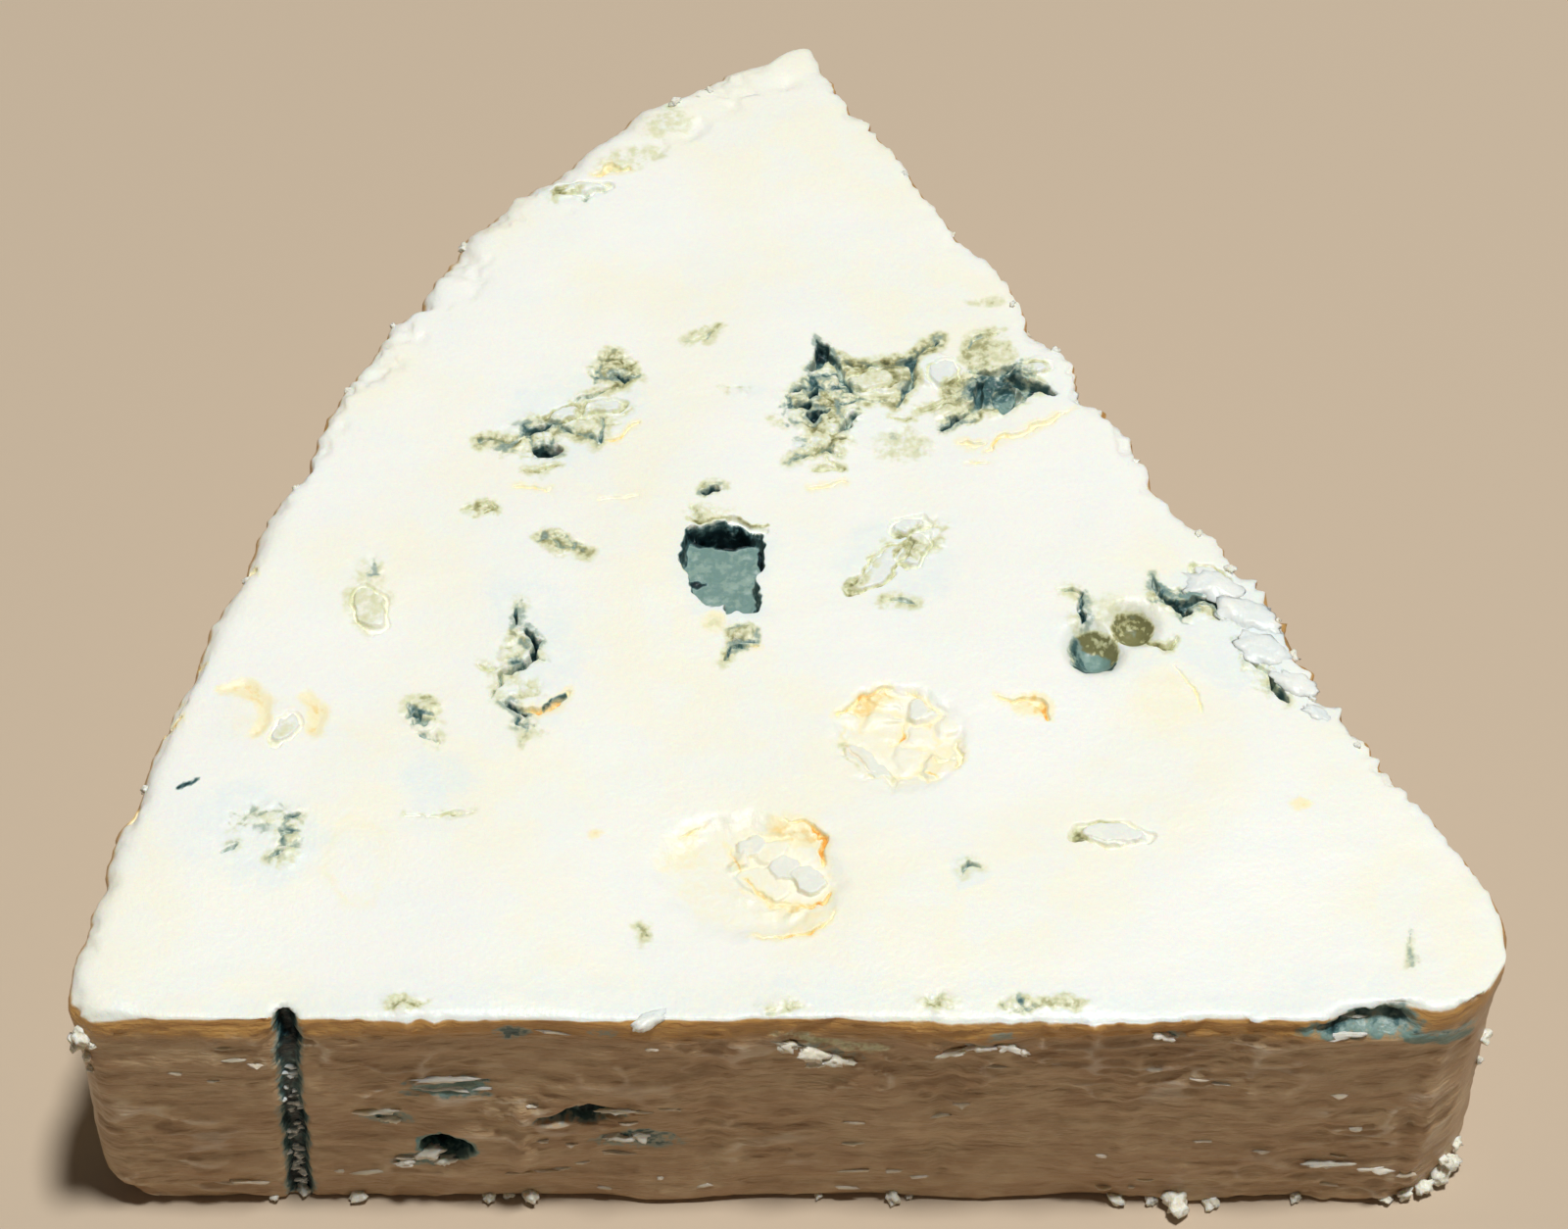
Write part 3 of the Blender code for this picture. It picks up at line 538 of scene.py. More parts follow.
def small_marks(top):
    top.stain("milk", trail(top.flat, [(-44, -42.0, 2.4), (0, -42.4, 3.4), (44, -42.0, 2.4)]), 0.75, soft=2.6)
    top.stain("olive", patch(top.flat, (-29.3, -8.8), (3.2, 6.4), 6), 0.36, soft=0.8)
    top.veins(patch(top.flat, (-29.0, -6.4), (1.4, 2.2), -6), 0.5, soft=0.4)
    top.stain("amber", patch(top.flat, (-29.0, -9.8), (2.2, 4.0), 10), 0.25, soft=0.8)
    top.veins(patch(top.flat, (-24.9, -18.6), (2.2, 3.2), 0), 0.75, soft=0.5)
    top.crack([(-26.0, -17.6, 0.1), (-25.5, -19.3, 0.26), (-24.2, -19.2, 0.2)], 0.5, dark=0.8)
    top.crack([(-24.9, -20.2, 0.2), (-24.0, -20.9, 0.16)], 0.4, dark=0.7)
    top.stain("mould", trail(top.smooth, [(-41.1, -24.9, 0.16), (-39.9, -24.3, 0.16)]), 0.95, soft=0.12)
    top.stain("milk", patch(top.flat, (-35.6, -28.2), (9.6, 8.6), 0), 1.0, soft=1.6)
    top.veins(patch(top.flat, (-35.6, -27.4), (4.6, 2.6), 10), 0.4, soft=0.9)
    top.veins(patch(top.flat, (-33.4, -28.8), (1.6, 4.4), -8), 0.65, soft=0.5)
    for x, y in ((-37.3, -29.8), (-34.0, -30.2), (-33.6, -28.7), (-33.4, -27.3)):
        top.crack([(x - 0.4, y, 0.14), (x + 0.4, y + 0.2, 0.22)], depth=0.3, dark=0.75)
    top.slit([(-25.9, -27.0, 0.05), (-23.6, -27.2, 0.1), (-21.3, -26.6, 0.05)], kind="olive", strength=0.8)
    top.stain("milk", patch(top.flat, (-23.6, -24.6), (7.6, 6.4), 0), 1.0, soft=1.6)
    ring = patch(top.flat, (-28.9, -30.6), (4.6, 8.2), 5)
    top.stain("amber", np.minimum(ring, 0.9 - ring), 0.2, soft=0.7)
    top.stain("milk", patch(top.flat, (7.4, -5.6), (9.6, 9.0), -40), 0.9, soft=1.6)
    top.crack([(4.3, -8.2, 0.05), (5.0, -7.0, 0.1), (6.2, -5.2, 0.1), (6.8, -4.2, 0.05)], depth=0.2, dark=0.3, olive=0.6)
    top.crack([(6.8, -9.2, 0.1), (7.6, -9.0, 0.2), (8.6, -9.3, 0.06)], depth=0.3, dark=0.5, olive=0.9)
    top.veins(patch(top.flat, (9.2, -3.8), (3.2, 4.2), -35), 0.6, soft=0.6)
    top.crack([(11.6, -31.6, 0.12), (12.0, -30.9, 0.22), (12.7, -31.0, 0.12)], depth=0.5, dark=0.75, halo=0.2)
    top.stain("milk", patch(top.flat, (12.3, -31.8), (2.2, 2.0), 0), 1.4, soft=0.5)
    top.slit([(19.2, -28.6, 0.05), (21.6, -28.9, 0.1), (24.0, -29.2, 0.05)], kind="olive", strength=0.6)
    top.crack([(-9.9, -35.6, 0.1), (-9.5, -36.4, 0.2)], depth=0.3, dark=0.7, olive=0.9)
    top.crack([(40.8, -36.4, 0.05), (40.7, -38.6, 0.09)], depth=0.2, dark=0.8, halo=0.2)
    top.stain("milk", patch(top.flat, (-15.8, 28.3), (5.8, 2.8), 10), 1.2)
    top.veins(patch(top.flat, (-15.8, 28.0), (4.4, 1.6), 10), 0.5, soft=0.4)
    top.stain("olive", patch(top.flat, (-11.6, 32.0), (6.6, 2.4), 20), 0.34, soft=0.6)
    top.stain("olive", patch(top.flat, (-9.2, 35.4), (4.6, 2.4), 30), 0.34, soft=0.6)
    top.stain("olive", patch(top.flat, (21.0, 15.0), (3.0, 1.2), 0), 0.45, soft=0.5)
    top.stain("olive", patch(top.flat, (14.2, 17.8), (2.4, 0.9), 0), 0.5, soft=0.4)
    for x, y in ((-13.0, -28.4), (34.2, -26.2)):
        top.stain("amber", patch(top.flat, (x, y), (1.2, 1.0), 0), 0.45, soft=0.4)
    for x in (9.7, 15.0, 17.8, -0.4, -25.2):
        top.veins(patch(top.flat, (x, -41.6), (3.0, 1.3), 0), 0.8, soft=0.4)


# Marks on the upright faces, in millimetres along the face and up it.


def front_marks(front):
    calm = front.smooth + (front.flat - front.smooth) * 0.6
    needle = trail(calm, [(-32.7, 26, 0.6), (-33.2, 14, 0.66), (-33.9, -1, 0.72)])
    front.dig(needle, 0.9, edge=0.7)
    front.stain("grey", needle + 0.1, 0.6, soft=0.3)
    front.stain("mould", needle + 0.1, 0.72 + 0.3 * front.shade, soft=0.3)
    front.stain("mould", needle + 0.5, 0.3 * front.shade, soft=0.4)
    pit = patch(front.flat, (-23.2, 7.6), (3.2, 3.0))
    front.dig(pit, 1.6, edge=0.5)
    front.stain("mould", pit + 0.1, 0.8, soft=0.3)
    front.stain("grey", pit + 0.5, 0.7, soft=0.3)
    front.stain("grey", patch(front.flat, (-25.4, 6.0), (4.4, 2.0), 20), 0.6, soft=0.4)
    front.stain("grey", patch(front.flat, (-22.9, 15.3), (5.6, 1.7)), 0.9, soft=0.3)
    for height, dark in ((16.0, 0.6), (14.4, 0.5)):
        front.stain("mould", trail(front.flat, [(-26.2, height, 0.1), (-20.2, height + 0.1, 0.2)]), dark, 0.25)
    front.stain("mould", patch(front.flat, (-27.4, 11.0), (4.4, 1.5)), 0.45, soft=0.4)
    slot = patch(front.flat, (-14.0, 11.6), (5.0, 1.4), 5)
    front.dig(slot, 0.9, edge=0.5)
    front.stain("mould", slot + 0.1, 0.7, soft=0.35)
    front.stain("mould", patch(front.flat, (-10.2, 8.2), (5.8, 1.8), -4), 0.5, soft=0.5)
    front.stain("mould", trail(front.flat, [(-12.8, 8.6, 0.2), (-10.2, 9.6, 0.25), (-7.8, 8.6, 0.12)]), 0.7, soft=0.25)
    front.stain("mould", trail(front.flat, [(-1.0, 21.6, 0.2), (2.4, 20.4, 0.4), (4.8, 19.0, 0.2)]), 0.35, soft=0.5)
    front.stain("olive", trail(front.flat, [(-1.0, 22.4, 0.3), (3.4, 21.0, 0.6), (6.0, 20.4, 0.4)]), 0.5, soft=0.6)
    opening = patch(front.flat, (37.4, 23.0), (5.8, 1.6))
    front.dig(opening, 1.0, edge=0.6)
    front.stain("grey", opening + 0.5, 0.6, soft=0.4)
    front.stain("mould", opening + 0.15, 0.4 + 0.4 * front.shade, soft=0.4)
    front.stain("grey", trail(front.flat, [(40.6, 22.0, 0.7), (45.6, 19.6, 0.5)]), 0.8, soft=0.6)
    front.stain("mould", trail(front.flat, [(40.4, 22.8, 0.3), (45.4, 20.8, 0.25)]), 0.5, soft=0.4)
    for x, z, dark in ((24.8, 21.9, 0.4), (-18.4, 22.4, 0.6), (-12.2, 22.6, 0.3), (14.0, 22.6, 0.3)):
        front.stain("mould", patch(front.flat, (x, z), (2.4, 1.3)), dark, soft=0.4)


def dragged_surface(face, seed):
    """Soft paste dragged by the knife: flat ripples along the face, rougher in patches, with painted highlight on the
    crests.
    """
    flat = face.solid + seed
    sway = 0.7 * wander(flat, (6, 5, 1), 15)
    flat = flat + np.column_stack((np.zeros(len(flat)), sway, np.zeros(len(flat))))
    broad = wander(flat, (10, 3.4, 1), 16)
    ripple = wander(flat, (3.6, 1.15, 1), 11)
    short = wander(flat, (1.7, 0.75, 1), 12)
    patches = ease(-0.3, 0.5, wander(flat, (8, 5, 1), 13))
    crest = ease(0.34, 0.02, np.abs(wander(flat, (3.4, 1.0, 1), 14))) * (0.35 + 0.65 * patches)
    pinholes = ease(0.45, 0.75, wander(flat, (1.5, 0.6, 1), 17)) * patches
    relief = 0.24 * broad + 0.12 * ripple + 0.14 * short * patches + 0.21 * crest - 0.15 * pinholes
    face.lift = face.lift + relief * face.share
    # Painted highlight: the crests take less of the tan and painted shade, so they read paler, as if lit.
    face.stains["dragged"] *= 1 - 0.33 * crest * face.share


def front_ridges(front):
    """Upright ridges that the knife's edge left."""
    dragged_surface(front, 9)
    for x, low, high, height in (
        (-18.2, 5, 13, 0.3),
        (-5.5, 3, 21, -0.2),
        (10.1, 4, 18, -0.25),
        (22.5, 3, 19, 0.2),
        (33.0, 4, 20, 0.12),
        (42.4, 3, 18, 0.35),
    ):
        band = trail(front.flat, [(x, low, 0.4), (x + 0.4, high, 0.4)])
        front.lift = front.lift + height * ease(-0.8, 0.3, band) * front.share


def back_cut_marks(back):
    dragged_surface(back, 60)
    calm = back.smooth + (back.flat - back.smooth) * 0.6
    needle = trail(calm, [(61.0, 26, 0.5), (60.2, -1, 0.6)])
    back.dig(needle, 0.8, edge=0.7)
    back.stain("mould", needle + 0.1, 0.78 + 0.25 * back.shade, soft=0.3)
    for along, z, size, turn, depth, dark in (
        (90.2, 10.5, (3.4, 2.4), 10, 1.3, 0.9),
        (36.6, 9.0, (6.8, 1.5), -6, 0.7, 0.7),
        (42.6, 18.8, (3.0, 1.0), 12, 0.4, 0.5),
        (73.0, 16.4, (6.6, 1.1), -8, 0.6, 0.6),
        (78.4, 6.2, (2.4, 1.8), 4, 0.9, 0.8),
        (52.0, 13.0, (2.2, 0.8), 20, 0.3, 0.45),
        (27.5, 15.5, (4.2, 1.2), 3, 0.4, 0.5),
    ):
        hole = patch(back.flat, (along, z), size, turn)
        back.dig(hole, depth, edge=0.5)
        back.stain("mould", hole + 0.1, dark, soft=0.3)
        back.stain("grey", hole + 0.4, 0.7 * dark, soft=0.4)


def rim_marks(rim):
    """The wheel's outer skin: pressed smooth, a little pitted, yellower than the cut faces."""
    rim.lift = rim.lift + (0.22 * wander(rim.solid, (9, 6, 1), 51) + 0.04 * wander(rim.solid, (2.4, 1.4, 1), 52)) * rim.share
    pits = ease(0.72, 0.95, wander(rim.solid, (1.3, 0.9, 1), 53))
    rim.depth = np.maximum(rim.depth, 0.3 * pits * rim.share)
    for y, z, size in ((-24.0, 9.0, (3.0, 2.0)), (14.0, 15.5, (3.6, 1.8)), (27.0, 12.0, (2.6, 2.4))):
        hole = patch(rim.flat, (y, z), size, 15)
        rim.dig(hole, 0.8, edge=0.6)
        rim.stain("mould", hole, 0.6, soft=0.4)
        rim.stain("olive", hole + 0.8, 0.6, soft=0.6)


# How far the top edges stand out, in millimetres: (place along the edge, half length, how far).

BACK_EDGE_LUMPS = (
    (92.0, 2.2, -0.3), (86.0, 1.4, 0.3), (79.0, 2.0, -0.3), (72.9, 2.4, 0.6),
    (68.0, 1.5, -0.7), (64.4, 2.0, 0.5), (56.2, 2.0, 0.7), (51.3, 1.6, -0.5),
    (46.0, 1.6, 0.3), (41.5, 1.4, -0.2), (37.8, 2.2, 0.8), (34.0, 0.9, -0.5), (30.7, 2.2, -0.9),
)
BACK_EDGE_LIPS = ((44.2, 1.3, 0.9), (39.6, 1.5, 1.5), (36.6, 0.9, 1.1), (32.6, 1.2, 1.0), (28.8, 0.9, 0.8))
RIM_EDGE_LUMPS = (
    (17.9, 1.0, -0.7), (2.7, 1.2, -0.9), (-6.8, 1.3, -0.8), (-25.4, 1.3, -0.9), (24.0, 1.2, 0.5),
    (-15.0, 1.6, -0.4), (30.5, 1.4, -0.5), (10.0, 1.5, 0.3), (-33.0, 1.6, -0.3), (36.6, 1.0, 0.5),
    (38.8, 0.7, -0.5),
)


def lumps_along(along, lumps):
    return sum(out * np.exp(-(((along - middle) / half) ** 2)) for middle, half, out in lumps)


def worn_edges(places):
    """Sideways moves, in millimetres, that break up the wedge's top edges, and how busy they make it."""
    from_middle = places[:, :2] - WHEEL_MIDDLE
    reach = np.linalg.norm(from_middle, axis=1)
    high = ease(TOP - 7, TOP - 0.5, places[:, 2])
    flat = places * (1, 1, 0)
    rough = ease(-0.6, 0.4, wander(flat, 7.0, 34))
    crumbly = 0.30 * wander(flat, 2.3, 31) + 0.12 * wander(flat, 0.8, 36)
    crumbly = crumbly + rough * (0.34 * wander(flat, 1.1, 32) + 0.24 * wander(flat, 0.55, 33))
    back_gap = from_middle @ BACK_INWARD[:2]
    back_fade = ease(2.6, 0.2, back_gap) * high
    along_back = from_middle @ BACK_ALONG[:2]
    past_nose = ease(18, 26, along_back)
    back_out = (lumps_along(along_back, BACK_EDGE_LUMPS) + 1.1 * crumbly) * past_nose + 0.3 * crumbly
    lip_fade = ease(1.6, 0.2, back_gap) * ease(TOP - 2.2, TOP - 0.9, places[:, 2])
    lip_out = lumps_along(along_back, BACK_EDGE_LIPS) * (1 + 0.8 * wander(flat, 0.7, 35)) * lip_fade
    rim_gap = WHEEL_RADIUS - reach
    rim_fade = ease(3.6, 0.6, rim_gap) * high
    rim_out = lumps_along(places[:, 1], RIM_EDGE_LUMPS) + 0.9 * crumbly
    front_fade = ease(1.0, 0.1, places[:, 1] - LOW[1]) * ease(TOP - 2.0, TOP - 0.5, places[:, 2])
    outward = np.column_stack((from_middle / np.maximum(reach, 1)[:, None], np.zeros(len(places))))
    move = -BACK_INWARD * (back_fade * back_out + lip_out)[:, None]
    move = move + outward * (rim_fade * rim_out)[:, None]
    # The far corner is still as sharp as the knife left it.
    point = WHEEL_MIDDLE + BACK_ALONG[:2] * WHEEL_RADIUS
    near_point = np.exp(-((np.linalg.norm(places[:, :2] - point, axis=1) / 2.0) ** 2)) * high
    move = move + (BACK_ALONG - BACK_INWARD) * (0.75 * near_point)[:, None]
    move = move - FRONT_INWARD * (front_fade * 0.6 * crumbly)[:, None]
    droop = 0.35 * ease(0.1, -0.6, crumbly) * ease(1.2, 0.2, np.minimum(back_gap, rim_gap - 1.5))
    move[:, 2] -= droop * ease(TOP - 1.0, TOP - 0.4, places[:, 2])
    edge = np.maximum(ease(2.0, 1.0, back_gap), ease(3.2, 2.0, rim_gap))
    edge = np.maximum(edge, ease(1.6, 0.8, places[:, 1] - LOW[1]))
    return move, edge * ease(TOP - 4, TOP - 2, places[:, 2])


def wedge_faces(places, normals):
    """The faces to work, and the stains that they share."""
    stains = {kind: np.zeros(len(places)) for kind in STAINS}
    from_middle = places[:, :2] - WHEEL_MIDDLE
    reach = np.linalg.norm(from_middle, axis=1)
    outward = np.column_stack((from_middle / np.maximum(reach, 1)[:, None], np.zeros(len(places))))
    top_share = ease(0.25, 0.7, normals[:, 2]) * ease(TOP - 3.0, TOP - 2.0, places[:, 2])
    top = Face(places[:, :2], np.array((0, 0, -1)), top_share, stains)
    front_share = ease(0.35, 0.75, -normals[:, 1]) * ease(LOW[1] + 3, LOW[1] + 2, places[:, 1])
    front = Face(places[:, (0, 2)], FRONT_INWARD, front_share, stains)
    along_back = from_middle @ BACK_ALONG[:2]
    back_share = ease(0.35, 0.75, normals @ -BACK_INWARD)
    back = Face(np.column_stack((along_back, places[:, 2])), BACK_INWARD, back_share, stains)
    rim_share = ease(0.35, 0.75, np.sum(normals * outward, axis=1)) * ease(WHEEL_RADIUS - 6, WHEEL_RADIUS - 4, reach)
    rim = Face(places[:, 1:], -outward, rim_share, stains)
    upright = ease(0.75, 0.4, normals[:, 2]) * ease(TOP + 0.2, TOP - 0.8, places[:, 2])
    stains["rind"] = rim_share * upright * ease(LOW[1] + 1, LOW[1] + 5, places[:, 1])
    # The upright cuts, less the rim, take the tan paint: partly dragged paste, partly painted shade.
    stains["dragged"] = upright - stains["rind"]
    # Painted light: an amber band just under the top edge of the upright faces stands for light shining through the
    # thin edge.
    stains["painted_edge_glow"] = upright * ease(TOP - 3.6, TOP - 1.2, places[:, 2])
    return top, front, back, rim, stains


def work_faces(places, normals):
    """All the marks. Gives each vertex's move in millimetres, its stains, how busy and how fussy it is."""
    top, front, back, rim, stains = wedge_faces(places, normals)
    mould_cave(top)
    cave_neighbours(top)
    rear_cluster(top)
    left_cluster(top)
    left_crack(top)
    right_pits(top)
    open_curds(top)
    lone_flakes(top)
    small_marks(top)
    front_marks(front)
    front_ridges(front)
    back_cut_marks(back)
    rim_marks(rim)
    top.break_up()
    top.lift = top.lift + (0.05 * wander(top.solid, 5.0, 61) + 0.03 * wander(top.solid, (2.6, 1.1, 1), 62)) * top.share
    move, busy = worn_edges(places)
    busy = np.maximum(busy, front.share)
    fussy = np.zeros(len(places))
    for face, finest in ((top, 1.0), (front, 1.0), (back, 0.75), (rim, 0.75)):
        busy = np.maximum(busy, face.busy)
        fussy = np.maximum(fussy, face.fussy * finest)
        inward = np.broadcast_to(face.inward, (len(places), 3))
        move = move + inward * (face.depth - face.lift)[:, None]
    move[places[:, 2] < 0.6, 2] = 0
    return move, stains, busy, fussy


# Mesh handling.


def deselect_all():
    for thing in bpy.context.selected_objects:
        thing.select_set(False)


def make_active(thing):
    deselect_all()
    thing.select_set(True)
    bpy.context.view_layer.objects.active = thing


def apply_modifier(thing, kind, **settings):
    make_active(thing)
    modifier = thing.modifiers.new(kind.title(), kind)
    for name, value in settings.items():
        setattr(modifier, name, value)
    bpy.ops.object.modifier_apply(modifier=modifier.name)


def read_vectors(mesh, what):
    values = np.empty(len(mesh.vertices) * 3)
    if what == "normals":
        mesh.vertex_normals.foreach_get("vector", values)
    else:
        mesh.vertices.foreach_get("co", values)
    return values.reshape(-1, 3)


def write_places(mesh, places):
    mesh.vertices.foreach_set("co", (places * MM).ravel())
    mesh.update()


def write_attribute(mesh, name, values):
    layer = mesh.attributes.get(name) or mesh.attributes.new(name, "FLOAT", "POINT")
    layer.data.foreach_set("value", values)


def paste_blank():
    """A copy of the wedge's solid with its hollows filled nearly level, remeshed finely to be worked."""
    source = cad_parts[NODE]
    wedge = source.copy()
    wedge.data = source.data.copy()
    wedge.name = "cheese_paste"
    bpy.context.scene.collection.objects.link(wedge)
    make_active(wedge)
    bpy.ops.object.mode_set(mode="EDIT")
    bpy.ops.mesh.select_all(action="SELECT")
    bpy.ops.mesh.remove_doubles(threshold=1e-6)
    bpy.ops.object.mode_set(mode="OBJECT")
    deselect_all()
    bpy.ops.mesh.primitive_cylinder_add(vertices=3, radius=0.04, depth=0.02)
    core = bpy.context.object
    inset = 1.2
    corners = (
        (HIGH[0] - 9.0, LOW[1] + inset),
        (WHEEL_MIDDLE[0] - WHEEL_RADIUS * math.cos(SECTOR_ANGLE) + 1.6, HIGH[1] - 6.0),
        (LOW[0] + 4.0, LOW[1] + inset),
    )
    for vert in core.data.vertices:
        turn = math.atan2(vert.co.x, vert.co.y)
        corner = corners[round(turn / (2 * math.pi / 3)) % 3]
        vert.co = Vector((corner[0], corner[1], TOP - 0.7 if vert.co.z > 0 else 0.3)) * MM
    core.location = (0, 0, 0)
    make_active(core)
    bpy.ops.object.mode_set(mode="EDIT")
    bpy.ops.mesh.select_all(action="SELECT")
    bpy.ops.mesh.normals_make_consistent(inside=False)
    bpy.ops.object.mode_set(mode="OBJECT")
    apply_modifier(wedge, "BOOLEAN", operation="UNION", solver="EXACT", object=core)
    bpy.data.objects.remove(core, do_unlink=True)
    apply_modifier(wedge, "REMESH", mode="VOXEL", voxel_size=REMESH * MM, use_smooth_shade=True)
    apply_modifier(wedge, "SMOOTH", factor=0.5, iterations=1)
    return wedge


def thin_underside(wedge):
    """Spends few faces on the flat underside."""
    mesh = wedge.data
    under = np.flatnonzero(read_vectors(mesh, "places")[:, 2] < 0.25 * MM)
    loose = wedge.vertex_groups.new(name="underside")
    loose.add(under.tolist(), 1, "REPLACE")
    ratio = 1 - 0.8 * len(under) / len(mesh.vertices)
    apply_modifier(wedge, "DECIMATE", ratio=ratio, vertex_group="underside", vertex_group_factor=0.5)
    wedge.vertex_groups.clear()


def level_top(places, normals):
    """Brings what is left of the filled hollows up to the gently dipping cut face."""
    depth_in = np.minimum(places[:, 1] - LOW[1], (places[:, :2] - WHEEL_MIDDLE) @ BACK_INWARD[:2])
    depth_in = np.minimum(depth_in, WHEEL_RADIUS - 1.9 - np.linalg.norm(places[:, :2] - WHEEL_MIDDLE, axis=1))
    chosen = np.flatnonzero((depth_in > 0.8) & (places[:, 2] > TOP - 1.6) & (normals[:, 2] > 0))
    for index in chosen:
        x, y, z = places[index]
        level = TOP - 0.5 * max(0, 0.5 + noise.noise(Vector((x, y, 0)) / 16))
        places[index, 2] += (level - z) * min(1, (depth_in[index] - 0.8) / 1.2)
    return places


def cut_finer(wedge, wanted, least):
    """Cuts the faces that want it in four, where any corner reaches the least value."""
    mesh = wedge.data
    corners = np.empty(len(mesh.loops), dtype=np.int32)
    mesh.loops.foreach_get("vertex_index", corners)
    starts = np.empty(len(mesh.polygons), dtype=np.int32)
    mesh.polygons.foreach_get("loop_start", starts)
    chosen = np.maximum.reduceat(wanted[corners], starts) > least
    make_active(wedge)
    bpy.ops.object.mode_set(mode="EDIT")
    bpy.ops.mesh.select_mode(type="FACE")
    bpy.ops.mesh.select_all(action="DESELECT")
    bpy.ops.object.mode_set(mode="OBJECT")
    mesh.polygons.foreach_set("select", chosen)
    bpy.ops.object.mode_set(mode="EDIT")
    bpy.ops.mesh.subdivide(number_cuts=1)
    bpy.ops.object.mode_set(mode="OBJECT")


def cheese_paste(material):
    wedge = paste_blank()
    thin_underside(wedge)
    mesh = wedge.data
    write_places(mesh, level_top(read_vectors(mesh, "places") / MM, read_vectors(mesh, "normals")))
    for measure, least in (("busy", 0.3), ("fussy", 0.3), ("fussy", 0.8)):
        move, stains, busy, fussy = work_faces(read_vectors(mesh, "places") / MM, read_vectors(mesh, "normals"))
        cut_finer(wedge, busy if measure == "busy" else fussy, least)
    places = read_vectors(mesh, "places") / MM
    move, stains, busy, fussy = work_faces(places, read_vectors(mesh, "normals"))
    write_places(mesh, places + move)
    for kind, values in stains.items():
        write_attribute(mesh, kind, values)
    make_active(wedge)
    bpy.ops.object.mode_set(mode="EDIT")
    bpy.ops.mesh.select_all(action="SELECT")
    bpy.ops.mesh.quads_convert_to_tris(quad_method="SHORTEST_DIAGONAL", ngon_method="BEAUTY")
    bpy.ops.object.mode_set(mode="OBJECT")
    print("paste triangles:", len(mesh.polygons))
    mesh.shade_smooth()
    mesh.materials.clear()
    mesh.materials.append(material)
    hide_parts(NODE)
    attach(wedge, "root")
    return wedge


# Loose bits that cling to the wedge: torn flakes, dragged scales and crumbs.


def bit_model(name, segments, rings):
    """One ball, a millimetre across, to be copied, squashed and frayed."""
    deselect_all()
    bpy.ops.mesh.primitive_uv_sphere_add(segments=segments, ring_count=rings, radius=0.5)
    model = bpy.context.object
    model.name = name
    return model


def copy_bit(model, place, size, turned, fray, lumps):
    """A copy of the model, squashed to a size, with a frayed outline and lumps, set in its place. Millimetres."""
    bit = bpy.data.objects.new(model.name, model.data.copy())
    bpy.context.scene.collection.objects.link(bit)
    offset = Vector(place) * 3.7
    for vert in bit.data.vertices:
        co = vert.co
        around = math.atan2(co.y, co.x)
        ring = Vector((math.cos(around), math.sin(around), 0))
        edge = 1 + fray * (0.7 * noise.noise(ring * 1.3 + offset) + 0.6 * noise.noise(ring * 3.6 + offset))
        bulge = 1 + lumps * noise.noise(co * 3.2 + offset)
        spot = Vector((co.x * size[0] * edge, co.y * size[1] * edge, co.z * size[2])) * bulge
        spot.z += 0.25 * fray * min(size[0], size[1]) * noise.noise(co * 1.8 + offset)
        vert.co = (turned @ spot + Vector(place)) * MM
    return bit


def join_bits(name, bits, model, material):
    """Makes one piece of its bits."""
    bpy.data.objects.remove(model, do_unlink=True)
    deselect_all()
    for bit in bits:
        bit.select_set(True)
    bpy.context.view_layer.objects.active = bits[0]
    bpy.ops.object.join()
    piece = bpy.context.object
    piece.name = name
    piece.data.materials.append(material)
    piece.data.shade_smooth()
    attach(piece, "root")
    return piece


def touch(paste, start, toward):
    """Where a straight line from a place first meets the paste, in millimetres, and the surface's direction there."""
    hit, place, normal, index = paste.ray_cast(Vector(start) * MM, Vector(toward).normalized())
    return (place / MM, normal) if hit else (None, None)


def laid_flat(normal, spin):
    """A turn that lays a flat bit on a surface and spins it there, in degrees."""
    lay = normal.to_track_quat("Z", "Y").to_matrix()
    return lay @ Matrix.Rotation(math.radians(spin), 3, "Z")


TORN_FLAKES = (
    # along X, along Y, length, width, thickness, turn, how frayed
    (29.3, -8.1, 4.4, 2.4, 0.5, -46, 0.4),
    (31.4, -10.3, 4.6, 2.6, 0.5, -54, 0.4),
    (32.4, -13.4, 3.8, 2.2, 0.5, -56, 0.4),
    (34.4, -16.0, 3.2, 1.6, 0.45, -54, 0.4),
    (35.8, -18.6, 2.2, 1.1, 0.4, -60, 0.4),
    (-9.2, -42.7, 2.8, 1.1, 0.9, 4, 0.3),
)

